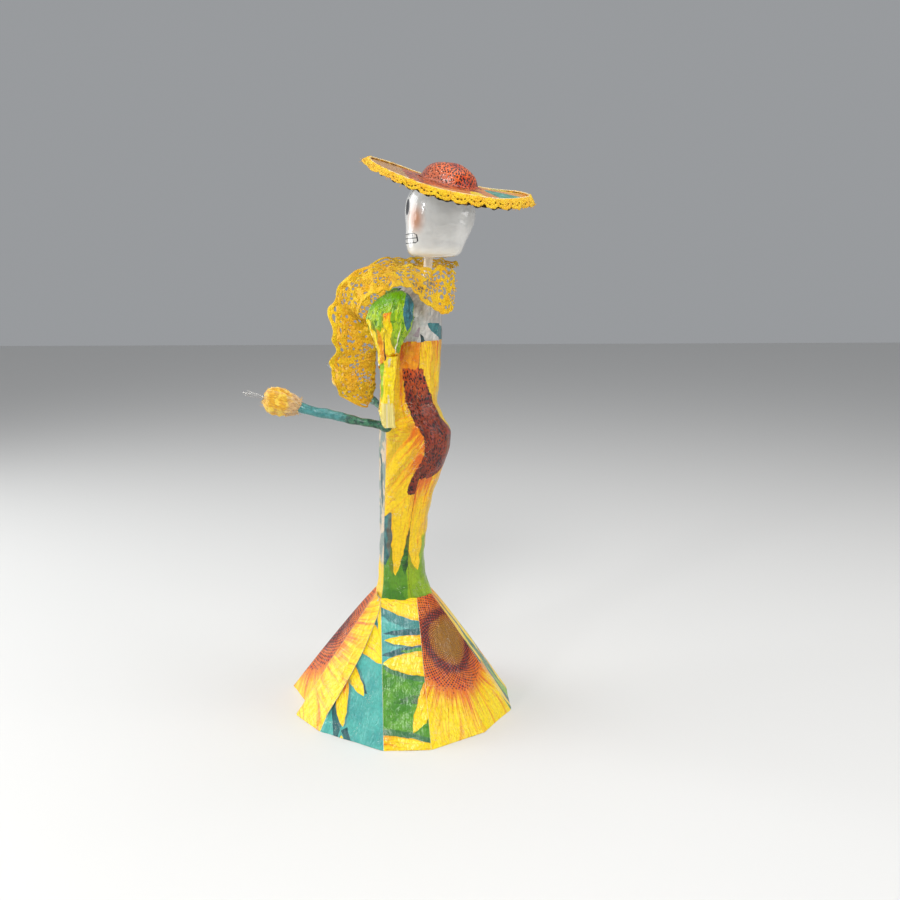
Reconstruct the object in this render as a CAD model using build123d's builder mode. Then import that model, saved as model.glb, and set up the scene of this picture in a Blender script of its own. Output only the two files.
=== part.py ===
"""Papier-mache catrina figure, built as the craft object is: a skirt of card gores round a base board, a
dress tube of card strips on a dowel, wire arms in paper sleeves, a lace shawl, a glazed skull that turns
on the dowel and a wide hat edged with lace.

Millimetres, +Z up. The face looks along -Y and the figure's left hand is on +X. The origin is on the
table under the middle of the skirt.
"""

import math
import os

from build123d import *

os.makedirs("parts", exist_ok=True)

# Stock that the pieces are cut from
CARD = 0.8  # skirt gores
PAPER_WALL = 1.2  # layered paper of the dress tube and the yoke
BOARD = 2.4  # base board
DOWEL_RADIUS = 2.8
WIRE_RADIUS = 0.8
FINGER_RADIUS = 0.3
GLUE_GAP = 0.05  # radial room round a dowel or wire in its hole
JOINT_GAP = 0.3  # room round an elbow ball

# Dowel: from the base board up into the skull, leaning back a little
DOWEL_FOOT_Y = -6.0
NECK_Y = 16.0
NECK_Z = 300.0
DOWEL_LENGTH = 317.0
CORE_RADIUS = 9.0  # newspaper rolled round the dowel
CORE_FROM = 30.0
CORE_LENGTH = 219.0

# Skirt: corners and creases of its outline at the hem and where it meets the dress tube, starting at the
# fold in the middle of the front and going round by the figure's left side
SKIRT_TOP_Z = 80.0
HEM = [
    (0, -71), (21, -75), (46, -57), (74, -15), (74, 15), (52, 50), (20, 71),
    (-20, 71), (-52, 50), (-74, 15), (-74, -15), (-46, -58), (-26, -82),
]  # fmt: skip
SKIRT_NECK = [
    (0, -19), (10, -20), (16.5, -18.5), (17, -17), (17, 7), (12.5, 13.5), (7, 16.5),
    (-7, 16.5), (-12.5, 13.5), (-17, 7), (-17, -17), (-16.5, -18.5), (-10, -20),
]  # fmt: skip
FLARE = 0.93  # under 1 swells the skirt like a bell
SKIRT_LEVELS = 5
GORES = {
    "front": (12, 0, 1),
    "front_left": (1, 2),
    "left_front": (2, 3),
    "left": (3, 4),
    "back_left": (4, 5, 6),
    "back": (6, 7),
    "back_right": (7, 8, 9),
    "right": (9, 10),
    "right_front": (10, 11),
    "front_right": (11, 12),
}
BOARD_SHARE = 0.96  # the base board's outline over the hem's

# Dress tube and yoke: height, front, back and half width of each section
DRESS = [
    (80, -20, 16.5, 17),
    (92, -18.5, 13.5, 16.5),
    (105, -18, 12.6, 16.5),
    (130, -17.5, 15.2, 18),
    (150, -17.3, 19.3, 20.5),
    (165, -17.2, 25, 23),
    (177, -17.2, 29, 25),
    (189, -17, 30.5, 25.5),
    (200, -16.8, 25.6, 24),
    (211, -16.5, 21.6, 21),
    (227, -15.5, 23.2, 20.5),
    (240, -15.5, 24.2, 21.3),
    (251, -14, 24.5, 21.4),
]
YOKE = [
    (251, -14, 24.5, 21.4),
    (262, -11, 24.2, 21.4),
    (275, -6, 23.6, 19.5),
    (283, -1, 22.5, 15),
    (288, 5, 21, 10),
]
# Half of a section's outline: share of the half width, and share of the depth behind the front
OUTLINE_SHARES = [(0.80, 0.10), (1.0, 0.38), (0.96, 0.64), (0.58, 0.93)]
DRESS_STRIPS = {"front": (9, 0, 1), "left": (1, 2, 3), "back": (3, 4, 5, 6, 7), "right": (7, 8, 9)}

# Arms: shoulder puffs and upper arms hang outside the torso; each forearm starts at a ball in the elbow
ARM_X = 33.5
ELBOW_Y = -11.5
ELBOW_Z = 199.0
BALL_RADIUS = 4.2
LIFT_LIMIT = 40.0  # how far an elbow lifts from rest, degrees
SLEEVE_INNER_X = 21.8
SLEEVE = [
    # Height, centre x, centre y, half width, half depth
    (243, 33.5, -9.2, 5.0, 6.2),
    (250, 33.3, -9.0, 8.0, 8.5),
    (258, 33.3, -8.0, 10.5, 12.5),
    (266, 33.3, -8.4, 11.5, 14.6),
    (273, 32.6, -6.5, 11.0, 13.4),
    (278, 31.2, -5.0, 9.0, 10.2),
    (281.4, 30.0, -3.8, 6.2, 6.3),
    (283, 29.6, -3.5, 2.6, 2.6),
]
UPPER_ARM = [
    (200, 33.5, -11.0, 5.5, 5.6),
    (210, 33.5, -10.6, 4.8, 5.1),
    (225, 33.5, -10.0, 4.6, 5.3),
    (243, 33.5, -9.2, 4.9, 6.1),
]
FOREARM = [(0.0, 0.0, 2.6), (12.0, 2.4, 2.6), (28.0, 6.0, 2.85), (44.0, 9.7, 3.05), (58.0, 13.6, 3.15)]
LEFT_YAW = 0.0
RIGHT_YAW = 60.0  # the right forearm reaches forward and outward
CUFF_PROFILE = [(0.0, 5.2), (4.0, 6.6), (9.0, 8.0), (14.0, 8.2), (18.0, 7.0), (21.0, 4.2)]
CUFF_BORE = 2.1
CUFF_MOUTH = 3.7
CUFF_SOCKET = 4.0
CUFF_LINING = 0.3  # room round the wrist in the cuff
FINGERS = 5
FINGER_LENGTH = 30.0
FINGER_PITCH = 0.75
FINGER_BEND = 10.0  # along the hand, where the wires start to fan out
FINGER_FAN = 7.0  # degrees between neighbours

# Lace shawl, from its cut ends at the back to the middle of the chest. Its inner edge lies on the left
# sleeve, on the chest and at the right of the neck, and its outer edge stands free.
SHAWL_THICKNESS = 2.4
SHAWL_CHEST = [
    # Inner edge, outer edge
    ((9, -17, 259), (20, -47, 264)),
    ((7, -18, 246), (18, -45.5, 245)),
    ((6, -18.8, 236), (14, -47.5, 231)),
    ((4, -19.2, 226), (10, -42, 214)),
    ((0, -19.5, 219), (0, -26, 207)),
]
SHAWL_LEFT = [
    ((24, 32, 272), (7, 35, 295)),
    ((27, 25, 268.5), (8, 26, 297)),
    ((32, 13.5, 275), (9, 15, 297.5)),
    ((35, 3, 285.5), (9, 4, 298)),
    ((35, -10, 283.8), (10, -9, 299)),
    ((32, -23, 278), (12, -25, 297)),
    ((22, -28, 267), (16, -41, 286)),
]
SHAWL_RIGHT = [
    ((7, 31, 297), (20, 37, 299)),
    ((8, 25, 297.5), (25, 28, 302)),
    ((9, 15, 297), (28, 13, 303.5)),
    ((9, 5, 297), (28, -2, 303.8)),
    ((9, -5, 294), (26, -18, 301.5)),
    ((9, -11, 283), (20, -34, 292)),
    ((9, -14, 271), (20, -44, 280)),
]

# Skull: height, centre y, half depth and half width of each section
SKULL = [
    (303, 20.0, 13.5, 12.0),
    (305.5, 20.0, 17.6, 15.4),
    (312, 20.6, 19.2, 16.9),
    (320, 22.6, 21.3, 17.9),
    (330, 24.0, 22.6, 19.0),
    (338, 24.2, 22.2, 18.8),
    (344, 25.0, 19.6, 17.2),
    (350, 26.3, 14.4, 13.4),
    (354, 27.0, 7.5, 7.5),
]
# The dowel's socket, along the dowel
SOCKET_FROM = 290.0
SOCKET_TO = 321.0

# Hat: front up and left side down, with a brim that lifts at the front and back and droops at the sides
HAT_CENTRE = (0.0, 29.0, 348.6)
HAT_PITCH = 12.6
HAT_ROLL = 8.5
BRIM_RADIUS = 52.5
BRIM_THICKNESS = 1.2
BRIM_LIFT = 3.2  # at the rim
CROWN_RADIUS = 18.0
CROWN_HEIGHT = 11.8
CROWN_WALL = 0.8
LINING_THICKNESS = 0.5
LACE_DROP = 6.5
LACE_THICKNESS = 3.0  # room for its ruffles


def save(piece, name):
    piece.part.label = name
    export_step(piece.part, f"parts/{name}.step")


def blend(a, b, share):
    return tuple(p + (q - p) * share for p, q in zip(a, b))


def shrunk(points, wall, centre=(0.0, 0.0)):
    """Each point moved towards the centre by the wall's thickness."""
    moved = []
    for x, y in points:
        away = math.hypot(x - centre[0], y - centre[1])
        share = 1 - wall / away
        moved.append((centre[0] + (x - centre[0]) * share, centre[1] + (y - centre[1]) * share))
    return moved


def wall_loft(sections):
    """A wall from straight-sided sections: for each height, its outer points and its inner points."""
    with BuildPart() as wall:
        for height, outer, inner in sections:
            with BuildSketch(Plane.XY.offset(height)):
                with BuildLine():
                    Polyline(*outer, *reversed(inner), close=True)
                make_face()
        loft(ruled=True)
    return wall


# Skirt gores


def skirt_outline(height):
    share = (1 - height / SKIRT_TOP_Z) ** FLARE
    return [blend(neck, hem, share) for neck, hem in zip(SKIRT_NECK, HEM)]


def gore(corners):
    sections = []
    for level in range(SKIRT_LEVELS):
        height = SKIRT_TOP_Z * level / (SKIRT_LEVELS - 1)
        outer = [skirt_outline(height)[i] for i in corners]
        sections.append((height, outer, shrunk(outer, CARD)))
    return wall_loft(sections)


for name, corners in GORES.items():
    save(gore(corners), f"skirt_gore_{name}")

# Dowel, base board and paper core

lean = Plane(origin=(0, DOWEL_FOOT_Y, 0), x_dir=(1, 0, 0), z_dir=(0, NECK_Y - DOWEL_FOOT_Y, NECK_Z))
DOWEL_FOOT = 1.2  # along the dowel, above the board's underside

with BuildPart() as dowel:
    with BuildSketch(lean.offset(DOWEL_FOOT)):
        Circle(DOWEL_RADIUS)
    extrude(amount=DOWEL_LENGTH)
save(dowel, "dowel")

with BuildPart() as base_board:
    with BuildSketch(Plane.XY):
        with BuildLine():
            Polyline(*[(x * BOARD_SHARE, y * BOARD_SHARE) for x, y in HEM], close=True)
        make_face()
    extrude(amount=BOARD)
    with BuildSketch(lean.offset(DOWEL_FOOT - GLUE_GAP)):
        Circle(DOWEL_RADIUS + GLUE_GAP)
    extrude(amount=2 * BOARD, mode=Mode.SUBTRACT)
save(base_board, "base_board")

with BuildPart() as paper_core:
    with BuildSketch(lean.offset(CORE_FROM)):
        Circle(CORE_RADIUS)
        Circle(DOWEL_RADIUS + GLUE_GAP, mode=Mode.SUBTRACT)
    extrude(amount=CORE_LENGTH)
save(paper_core, "paper_core")

# Dress tube and yoke


def body_outline(front, back, half_width):
    """Ten points round the body: a flat front, creased front corners and sides, and a rounder back."""
    side = [(wide * half_width, front + deep * (back - front)) for wide, deep in OUTLINE_SHARES]
    return [(0, front), *side, (0, back), *[(-x, y) for x, y in reversed(side)]]


def dress_strip(corners):
    sections = []
    for height, front, back, half_width in DRESS:
        outer = [body_outline(front, back, half_width)[i] for i in corners]
        sections.append((height, outer, shrunk(outer, PAPER_WALL, (0, (front + back) / 2))))
    return wall_loft(sections)


for name, corners in DRESS_STRIPS.items():
    save(dress_strip(corners), f"dress_strip_{name}")

ARMATURE_Y = -5.0
ARMATURE_Z = 270.0
ARMATURE_BEND = 5.0
WIRE_END_BACK = 1.0  # behind the elbow
WIRE_END_UP = 6.5  # above the elbow


def armature(radius, mode):
    """The wire that runs from elbow to elbow through both arms and across the shoulders."""
    half = [(ARM_X, ELBOW_Y + WIRE_END_BACK, ELBOW_Z + WIRE_END_UP), (ARM_X, ARMATURE_Y, ARMATURE_Z)]
    with BuildLine() as route:
        FilletPolyline(*half, *[(-x, y, z) for x, y, z in reversed(half)], radius=ARMATURE_BEND)
    with BuildSketch(Plane(origin=route.line @ 0, z_dir=route.line % 0)) as wire:
        Circle(radius)
    sweep(wire.sketch, path=route.line, mode=mode)


with BuildPart() as arm_wire:
    armature(WIRE_RADIUS, Mode.ADD)
save(arm_wire, "arm_wire")

YOKE_TOP_WALL = 3.0
NECK_HOLE_FROM = 150.0  # along the dowel, inside the yoke

with BuildPart() as bodice_yoke:
    for height, front, back, half_width in YOKE:
        with BuildSketch(Plane.XY.offset(height)):
            with BuildLine():
                Polyline(*body_outline(front, back, half_width), close=True)
            make_face()
    loft(ruled=True)
    for height, front, back, half_width in YOKE[:-1]:
        depth_centre = (front + back) / 2
        with BuildSketch(Plane.XY.offset(height)):
            with BuildLine():
                inner = shrunk(body_outline(front, back, half_width), YOKE_TOP_WALL, (0, depth_centre))
                Polyline(*inner, close=True)
            make_face()
    loft(ruled=True, mode=Mode.SUBTRACT)
    with BuildSketch(lean.offset(NECK_HOLE_FROM)):
        Circle(DOWEL_RADIUS + GLUE_GAP)
    extrude(amount=NECK_Z - NECK_HOLE_FROM, mode=Mode.SUBTRACT)
    armature(WIRE_RADIUS + GLUE_GAP, Mode.SUBTRACT)
save(bodice_yoke, "bodice_yoke")

# Sleeves and upper arms: the left one is made, and the right one mirrors it


def tube_loft(sections):
    rings = []
    for height, x, y, half_width, half_depth in sections:
        with BuildSketch(Plane.XY.offset(height)) as ring:
            with Locations((x, y)):
                Ellipse(half_width, half_depth)
        rings.append(ring.sketch)
    loft(rings)


with BuildPart() as sleeve_left:
    tube_loft(SLEEVE)
    split(bisect_by=Plane.YZ.offset(SLEEVE_INNER_X), keep=Keep.TOP)
    armature(WIRE_RADIUS + GLUE_GAP, Mode.SUBTRACT)
save(sleeve_left, "sleeve_left")

with BuildPart() as sleeve_right:
    mirror(sleeve_left.part, about=Plane.YZ)
save(sleeve_right, "sleeve_right")


def forearm_frame(side, yaw):
    """The elbow's frame: local -Y runs forward along the forearm's heading and Z is up."""
    turn = math.radians(-side * yaw)
    return Plane(
        origin=(side * ARM_X, ELBOW_Y, ELBOW_Z),
        x_dir=(math.cos(turn), -math.sin(turn), 0),
        z_dir=(0, 0, 1),
    )


def upper_arm(side, yaw):
    """A paper tube that ends in a hood behind the elbow ball, cut back where the forearm swings up."""
    frame = forearm_frame(side, yaw)
    steepest = math.radians(math.degrees(math.atan2(FOREARM[1][1], FOREARM[1][0])) + LIFT_LIMIT)
    along = Vector(0, -math.cos(steepest), math.sin(steepest))
    across = Vector(0, math.sin(steepest), math.cos(steepest))
    edge = frame.from_local_coords(across * (FOREARM[1][2] + 2 * JOINT_GAP))
    clear = frame.from_local_coords(across) - frame.origin
    with BuildPart() as arm:
        tube_loft([(z, side * x, y, w, d) for z, x, y, w, d in UPPER_ARM])
        split(bisect_by=Plane(origin=edge, z_dir=clear), keep=Keep.TOP)
        with BuildSketch(Plane(origin=frame.origin, x_dir=frame.x_dir, z_dir=frame.y_dir)):
            with BuildLine():
                top = Line((0, BALL_RADIUS + JOINT_GAP), (0, -BALL_RADIUS - JOINT_GAP))
                RadiusArc(top @ 1, top @ 0, BALL_RADIUS + JOINT_GAP)
            make_face()
        revolve(axis=Axis(frame.origin, (0, 0, 1)), mode=Mode.SUBTRACT)
        armature(WIRE_RADIUS + GLUE_GAP, Mode.SUBTRACT)
    return arm


# Forearms, cuffs and fingers


def wrist_frame(frame):
    """At the wrist, with Z along the hand."""
    (y0, z0, _), (y1, z1, _) = FOREARM[-2:]
    heading = Vector(0, -(y1 - y0), z1 - z0)
    return Plane(
        origin=frame.from_local_coords(Vector(0, -y1, z1)),
        x_dir=frame.x_dir,
        z_dir=frame.from_local_coords(heading) - frame.origin,
    )


def forearm(frame):
    with BuildPart() as arm:
        for i, (y, z, radius) in enumerate(FOREARM):
            before = FOREARM[max(i - 1, 0)]
            after = FOREARM[min(i + 1, len(FOREARM) - 1)]
            heading = Vector(0, before[0] - after[0], after[1] - before[1])
            place = Plane(
                origin=frame.from_local_coords(Vector(0, -y, z)),
                x_dir=frame.x_dir,
                z_dir=frame.from_local_coords(heading) - frame.origin,
            )
            with BuildSketch(place):
                Circle(radius)
        loft()
        with Locations(frame.origin):
            Sphere(BALL_RADIUS)
    return arm


def cuff(wrist):
    """Gathered lace bunched round the wrist, open at the front for the fingers."""
    start = -CUFF_SOCKET
    with BuildPart() as bunch:
        with BuildSketch(Plane(origin=wrist.origin, x_dir=wrist.x_dir, z_dir=-wrist.y_dir)):
            with BuildLine():
                outline = [(radius, along + start) for along, radius in CUFF_PROFILE]
                skin = Spline(*outline)
                back = FOREARM[-1][2] + CUFF_LINING
                Polyline(
                    skin @ 1,
                    (CUFF_MOUTH, outline[-1][1]),
                    (CUFF_BORE, FINGER_BEND),
                    (CUFF_BORE, GLUE_GAP),
                    (back, GLUE_GAP),
                    (back, start),
                    skin @ 0,
                )
            make_face()
        revolve(axis=Axis(wrist.origin, wrist.z_dir))
    return bunch


def fingers(wrist):
    """Thin wires that start together at the wrist and fan out through the cuff."""
    middle = (FINGERS - 1) / 2
    with BuildPart() as hand:
        for i in range(FINGERS):
            fan = math.radians(FINGER_FAN * (i - middle))
            across = FINGER_PITCH * (i - middle)
            reach = FINGER_LENGTH - FINGER_BEND
            local = [
                (across, 2 * GLUE_GAP),
                (across, FINGER_BEND),
                (across + reach * math.sin(fan), FINGER_BEND + reach * math.cos(fan)),
            ]
            points = [wrist.from_local_coords(Vector(x, 0, along)) for x, along in local]
            for start, end in zip(points, points[1:]):
                with BuildSketch(Plane(origin=start, z_dir=end - start)) as wire:
                    Circle(FINGER_RADIUS)
                extrude(wire.sketch, amount=(end - start).length)
            with Locations(points[1]):
                Sphere(FINGER_RADIUS)
    return hand


for label, side, yaw in (("left", 1, LEFT_YAW), ("right", -1, RIGHT_YAW)):
    elbow = forearm_frame(side, yaw)
    wrist = wrist_frame(elbow)
    save(upper_arm(side, yaw), f"upper_arm_{label}")
    save(forearm(elbow), f"forearm_{label}")
    save(cuff(wrist), f"cuff_{label}")
    save(fingers(wrist), f"finger_wires_{label}")

# Lace shawl


def shawl_half(side, stations):
    """Half of the shawl, from its end at the back to the middle of the chest."""
    edges = [[Vector(side * x, y, z) for x, y, z in station] for station in stations]
    middles = [(inner + outer) * 0.5 for inner, outer in edges]
    last = len(stations) - 1
    sections = []
    for i, (inner, outer) in enumerate(edges):
        width = outer - inner
        along = Vector(-side, 0, 0) if i == last else middles[i + 1] - middles[max(i - 1, 0)]
        normal = along - width.normalized() * along.dot(width.normalized())
        with BuildSketch(Plane(origin=middles[i], x_dir=width, z_dir=normal)) as section:
            Rectangle(width.length, SHAWL_THICKNESS)
        sections.append(section.sketch)
    loft(sections, ruled=True)


with BuildPart() as lace_shawl:
    shawl_half(1, SHAWL_LEFT + SHAWL_CHEST)
    shawl_half(-1, SHAWL_RIGHT + SHAWL_CHEST)
save(lace_shawl, "lace_shawl")

# Skull

with BuildPart() as skull:
    for height, y, half_depth, half_width in SKULL:
        with BuildSketch(Plane.XY.offset(height)):
            with Locations((0, y)):
                Ellipse(half_width, half_depth)
    loft()
    with BuildSketch(lean.offset(SOCKET_FROM)):
        Circle(DOWEL_RADIUS + GLUE_GAP)
    extrude(amount=SOCKET_TO - SOCKET_FROM, mode=Mode.SUBTRACT)
save(skull, "skull")

# Hat

roll, pitch = math.radians(HAT_ROLL), math.radians(HAT_PITCH)
hat_x = Vector(math.cos(roll), 0, -math.sin(roll))
hat_y = Vector(0, math.cos(pitch), -math.sin(pitch))
hat = Plane(origin=HAT_CENTRE, x_dir=hat_x, z_dir=hat_x.cross(hat_y))
BRIM_GRID = 9
BRIM_REACH = 1.15 * (BRIM_RADIUS + LACE_THICKNESS)
BRIM_CUT = 30.0  # how far the round cutter reaches above and below
LINING_INSET = 0.5


def brim_sheet(height):
    """The brim's curved surface, that much above its underside, a little wider than the lace."""
    steps = [BRIM_REACH * (2 * i / (BRIM_GRID - 1) - 1) for i in range(BRIM_GRID)]
    rows = []
    for x in steps:
        heights = [height + BRIM_LIFT * (y * y - x * x) / BRIM_RADIUS**2 for y in steps]
        rows.append([hat.from_local_coords(Vector(x, y, z)) for y, z in zip(steps, heights)])
    return Face.make_surface_from_array_of_points(rows)


def brim_layer(height, thickness, outer, inner):
    """A ring cut from a sheet of that thickness, upwards from that height."""
    with BuildPart() as layer:
        thicken(brim_sheet(height), amount=thickness, normal_override=hat.z_dir)
        with BuildSketch(hat.offset(-BRIM_CUT)):
            Circle(outer)
            Circle(inner, mode=Mode.SUBTRACT)
        extrude(amount=2 * BRIM_CUT, mode=Mode.INTERSECT)
    return layer


hole = CROWN_RADIUS + GLUE_GAP
save(brim_layer(0, BRIM_THICKNESS, BRIM_RADIUS, hole), "hat_brim")
lining = brim_layer(-LINING_THICKNESS, LINING_THICKNESS - GLUE_GAP, BRIM_RADIUS - LINING_INSET, hole)
save(lining, "brim_lining")


def crown_curve(radius, rise):
    """Half a dome's outline, upright at the rim and level at the top."""
    points = [(radius, 0), (0.87 * radius, 0.5 * rise), (0.5 * radius, 0.87 * rise), (0, rise)]
    return Spline(*points, tangents=((0, 1), (-1, 0)))


with BuildPart() as upright_crown:
    with BuildSketch(Plane.XZ):
        with BuildLine():
            dome = crown_curve(CROWN_RADIUS, CROWN_HEIGHT)
            ceiling = crown_curve(CROWN_RADIUS - CROWN_WALL, CROWN_HEIGHT - CROWN_WALL)
            Line(dome @ 0, ceiling @ 0)
            Line(dome @ 1, ceiling @ 1)
        make_face()
    revolve(axis=Axis.Z)

with BuildPart() as hat_crown:
    with Locations(hat.location):
        add(upright_crown.part)
save(hat_crown, "hat_crown")

lace_ring = BRIM_RADIUS + GLUE_GAP
edging = brim_layer(-LACE_DROP, LACE_DROP + BRIM_THICKNESS, lace_ring + LACE_THICKNESS, lace_ring)
save(edging, "hat_lace")
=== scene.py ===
"""Looks of a papier-mache catrina: printed and varnished paper, stiff golden lace, an enamelled skull.

Lengths are in millimetres until a mesh is made, and the figure faces -Y with its left hand on +X.
"""

import math

import bpy
import numpy as np
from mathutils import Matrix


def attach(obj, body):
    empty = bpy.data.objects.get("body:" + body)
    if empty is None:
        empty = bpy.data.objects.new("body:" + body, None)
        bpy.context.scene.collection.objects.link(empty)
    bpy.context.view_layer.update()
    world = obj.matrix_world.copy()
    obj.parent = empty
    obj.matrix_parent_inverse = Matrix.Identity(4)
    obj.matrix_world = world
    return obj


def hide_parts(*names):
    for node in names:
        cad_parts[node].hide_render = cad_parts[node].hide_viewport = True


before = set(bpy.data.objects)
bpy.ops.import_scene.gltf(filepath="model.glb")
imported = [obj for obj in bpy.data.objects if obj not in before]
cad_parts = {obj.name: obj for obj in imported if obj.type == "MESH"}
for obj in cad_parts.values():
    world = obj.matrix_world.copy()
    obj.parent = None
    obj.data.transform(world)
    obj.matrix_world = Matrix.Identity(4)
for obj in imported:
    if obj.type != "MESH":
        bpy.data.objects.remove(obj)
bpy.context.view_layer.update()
MM = 0.001
TAU = 2 * math.pi

# Outlines that part.py also holds: the skirt's corners, the dress, the yoke, the arms, the shawl, the hat

SKIRT_TOP = 80.0
FLARE = 0.93
HEM = [
    (0, -71), (21, -75), (46, -57), (74, -15), (74, 15), (52, 50), (20, 71),
    (-20, 71), (-52, 50), (-74, 15), (-74, -15), (-46, -58), (-26, -82),
]  # fmt: skip
SKIRT_NECK = [
    (0, -19), (10, -20), (16.5, -18.5), (17, -17), (17, 7), (12.5, 13.5), (7, 16.5),
    (-7, 16.5), (-12.5, 13.5), (-17, 7), (-17, -17), (-16.5, -18.5), (-10, -20),
]  # fmt: skip
DRESS = [
    (79, -20.6, 17.6, 18),
    (80, -20.4, 17.2, 17.7),
    (92, -18.5, 13.5, 16.5),
    (105, -18, 12.6, 16.5),
    (130, -17.5, 15.2, 18),
    (150, -17.3, 19.3, 20.5),
    (165, -17.2, 25, 23),
    (177, -17.2, 29, 25),
    (189, -17, 30.5, 25.5),
    (200, -16.8, 25.6, 24),
    (211, -16.5, 21.6, 21),
    (227, -15.5, 23.2, 20.5),
    (240, -15.5, 24.2, 21.3),
    (251, -14, 24.5, 21.4),
]
YOKE = [(251, -14, 24.5, 21.4), (262, -11, 24.2, 21.4), (275, -6, 23.6, 19.5), (283, -1, 22.5, 15), (288, 5, 21, 10)]
ARM_X = 33.5
ELBOW = (ARM_X, -11.5, 199.0)
SLEEVE_INNER_X = 21.8
FOREARM = [(0.0, 0.0, 2.6), (12.0, 2.4, 2.6), (28.0, 6.0, 2.85), (44.0, 9.7, 3.05), (58.0, 13.6, 3.15)]
YAWS = {"left": 0.0, "right": 60.0}
SIDES = {"left": 1, "right": -1}
SHAWL_CHEST = [
    # Inner edge, outer edge
    ((9, -17, 259), (20, -47, 264)),
    ((7, -18, 246), (18, -45.5, 245)),
    ((6, -18.8, 236), (14, -47.5, 231)),
    ((4, -19.2, 226), (10, -42, 214)),
    ((0, -19.5, 219), (0, -26, 207)),
]
SHAWL_LEFT = [
    ((24, 32, 272), (7, 35, 295)),
    ((27, 25, 268.5), (8, 26, 297)),
    ((32, 13.5, 275), (9, 15, 297.5)),
    ((35, 3, 285.5), (9, 4, 298)),
    ((35, -10, 283.8), (10, -9, 299)),
    ((32, -23, 278), (12, -25, 297)),
    ((22, -28, 267), (16, -41, 286)),
]
SHAWL_RIGHT = [
    ((7, 31, 297), (20, 37, 299)),
    ((8, 25, 297.5), (25, 28, 302)),
    ((9, 15, 297), (28, 13, 303.5)),
    ((9, 5, 297), (28, -2, 303.8)),
    ((9, -5, 294), (26, -18, 301.5)),
    ((9, -11, 283), (20, -34, 292)),
    ((9, -14, 271), (20, -44, 280)),
]
HAT_CENTRE = (0.0, 29.0, 348.6)
HAT_PITCH = 12.6
HAT_ROLL = 8.5
BRIM_RADIUS = 52.5
BRIM_LIFT = 3.2
CROWN_RADIUS = 18.0


# Numbers along curves and waves


def spline(keys, values, at):
    """Values at the given keys, eased through smoothly without overshoot (a monotone cubic)."""
    keys, values, at = (np.asarray(a, float) for a in (keys, values, at))
    values = values.reshape(len(keys), -1)
    step = np.diff(keys)[:, None]
    slope = np.diff(values, axis=0) / step
    tangent = np.zeros_like(values)
    tangent[0], tangent[-1] = slope[0], slope[-1]
    same = slope[1:] * slope[:-1] > 0
    harmonic = 2 * slope[1:] * slope[:-1] / np.where(same, slope[1:] + slope[:-1], 1)
    tangent[1:-1] = np.where(same, harmonic, 0)
    i = np.clip(np.searchsorted(keys, at, side="right") - 1, 0, len(keys) - 2)
    h = step[i]
    t = ((at - keys[i]) / h[:, 0])[:, None]
    a, b = values[i], values[i + 1]
    curve = (2 * t**3 - 3 * t**2 + 1) * a + (t**3 - 2 * t**2 + t) * h * tangent[i]
    curve = curve + (3 * t**2 - 2 * t**3) * b + (t**3 - t**2) * h * tangent[i + 1]
    return curve[:, 0] if curve.shape[1] == 1 else curve


def table_at(table, at):
    """The other columns of a table, where its first column is at the given values."""
    return spline([row[0] for row in table], [row[1:] for row in table], at)


def through(points, at):
    """A smooth curve through points, at shares 0 to 1 of their count (Catmull-Rom)."""
    points = np.asarray(points, float)
    ends = np.vstack([2 * points[0] - points[1], points, 2 * points[-1] - points[-2]])
    place = np.clip(np.asarray(at, float), 0, 1) * (len(points) - 1)
    i = np.minimum(place.astype(int), len(points) - 2)
    t = (place - i)[:, None]
    p0, p1, p2, p3 = ends[i], ends[i + 1], ends[i + 2], ends[i + 3]
    return 0.5 * (2 * p1 + (p2 - p0) * t + (2 * p0 - 5 * p1 + 4 * p2 - p3) * t**2 + (3 * p1 - p0 - 3 * p2 + p3) * t**3)


def ripple(u, v, wavelength, seed, waves=8):
    """Smooth unevenness, about -1 to 1, made of plane waves in seeded directions."""
    draw = np.random.default_rng(seed)
    total = np.zeros(np.broadcast(u, v).shape)
    for _ in range(waves):
        turn, phase = draw.uniform(0, TAU, 2)
        length = wavelength * draw.uniform(0.6, 1.6)
        total += np.sin(TAU * (u * math.cos(turn) + v * math.sin(turn)) / length + phase)
    return total / math.sqrt(waves)


def crumple(u, v, size, seed):
    """Creased unevenness from 0 to about 1, with sharp valleys like crushed paper."""
    ridges = 1 - np.abs(ripple(u, v, size, seed)) ** 0.6
    return 0.65 * ridges + 0.35 * (1 - np.abs(ripple(u, v, size * 0.45, seed + 1)) ** 0.6)


def around(count):
    """Angles of points that are spread evenly round a full turn."""
    return np.arange(count) * TAU / count


def unit(vectors):
    """The vectors with their lengths set to one."""
    length = np.linalg.norm(vectors, axis=-1, keepdims=True)
    return vectors / np.where(length > 1e-9, length, 1)


# Meshes


def make_mesh(name, points, faces, paint, printed=None, slots=None, sharp=40.0):
    """An object from points in millimetres. printed holds each point's place on the printed paper."""
    mesh = bpy.data.meshes.new(name)
    mesh.from_pydata((np.asarray(points, float) * MM).tolist(), [], [list(f) for f in faces])
    mesh.validate()
    if printed is not None:
        layer = mesh.attributes.new("print", "FLOAT_VECTOR", "POINT")
        layer.data.foreach_set("vector", np.asarray(printed, np.float32).ravel())
    for one in paint if isinstance(paint, (list, tuple)) else [paint]:
        mesh.materials.append(one)
    if slots is not None:
        mesh.polygons.foreach_set("material_index", np.asarray(slots, np.int32))
    mesh.shade_smooth()
    mesh.set_sharp_from_angle(angle=math.radians(sharp))
    mesh.update()
    thing = bpy.data.objects.new(name, mesh)
    bpy.context.scene.collection.objects.link(thing)
    return thing


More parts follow.
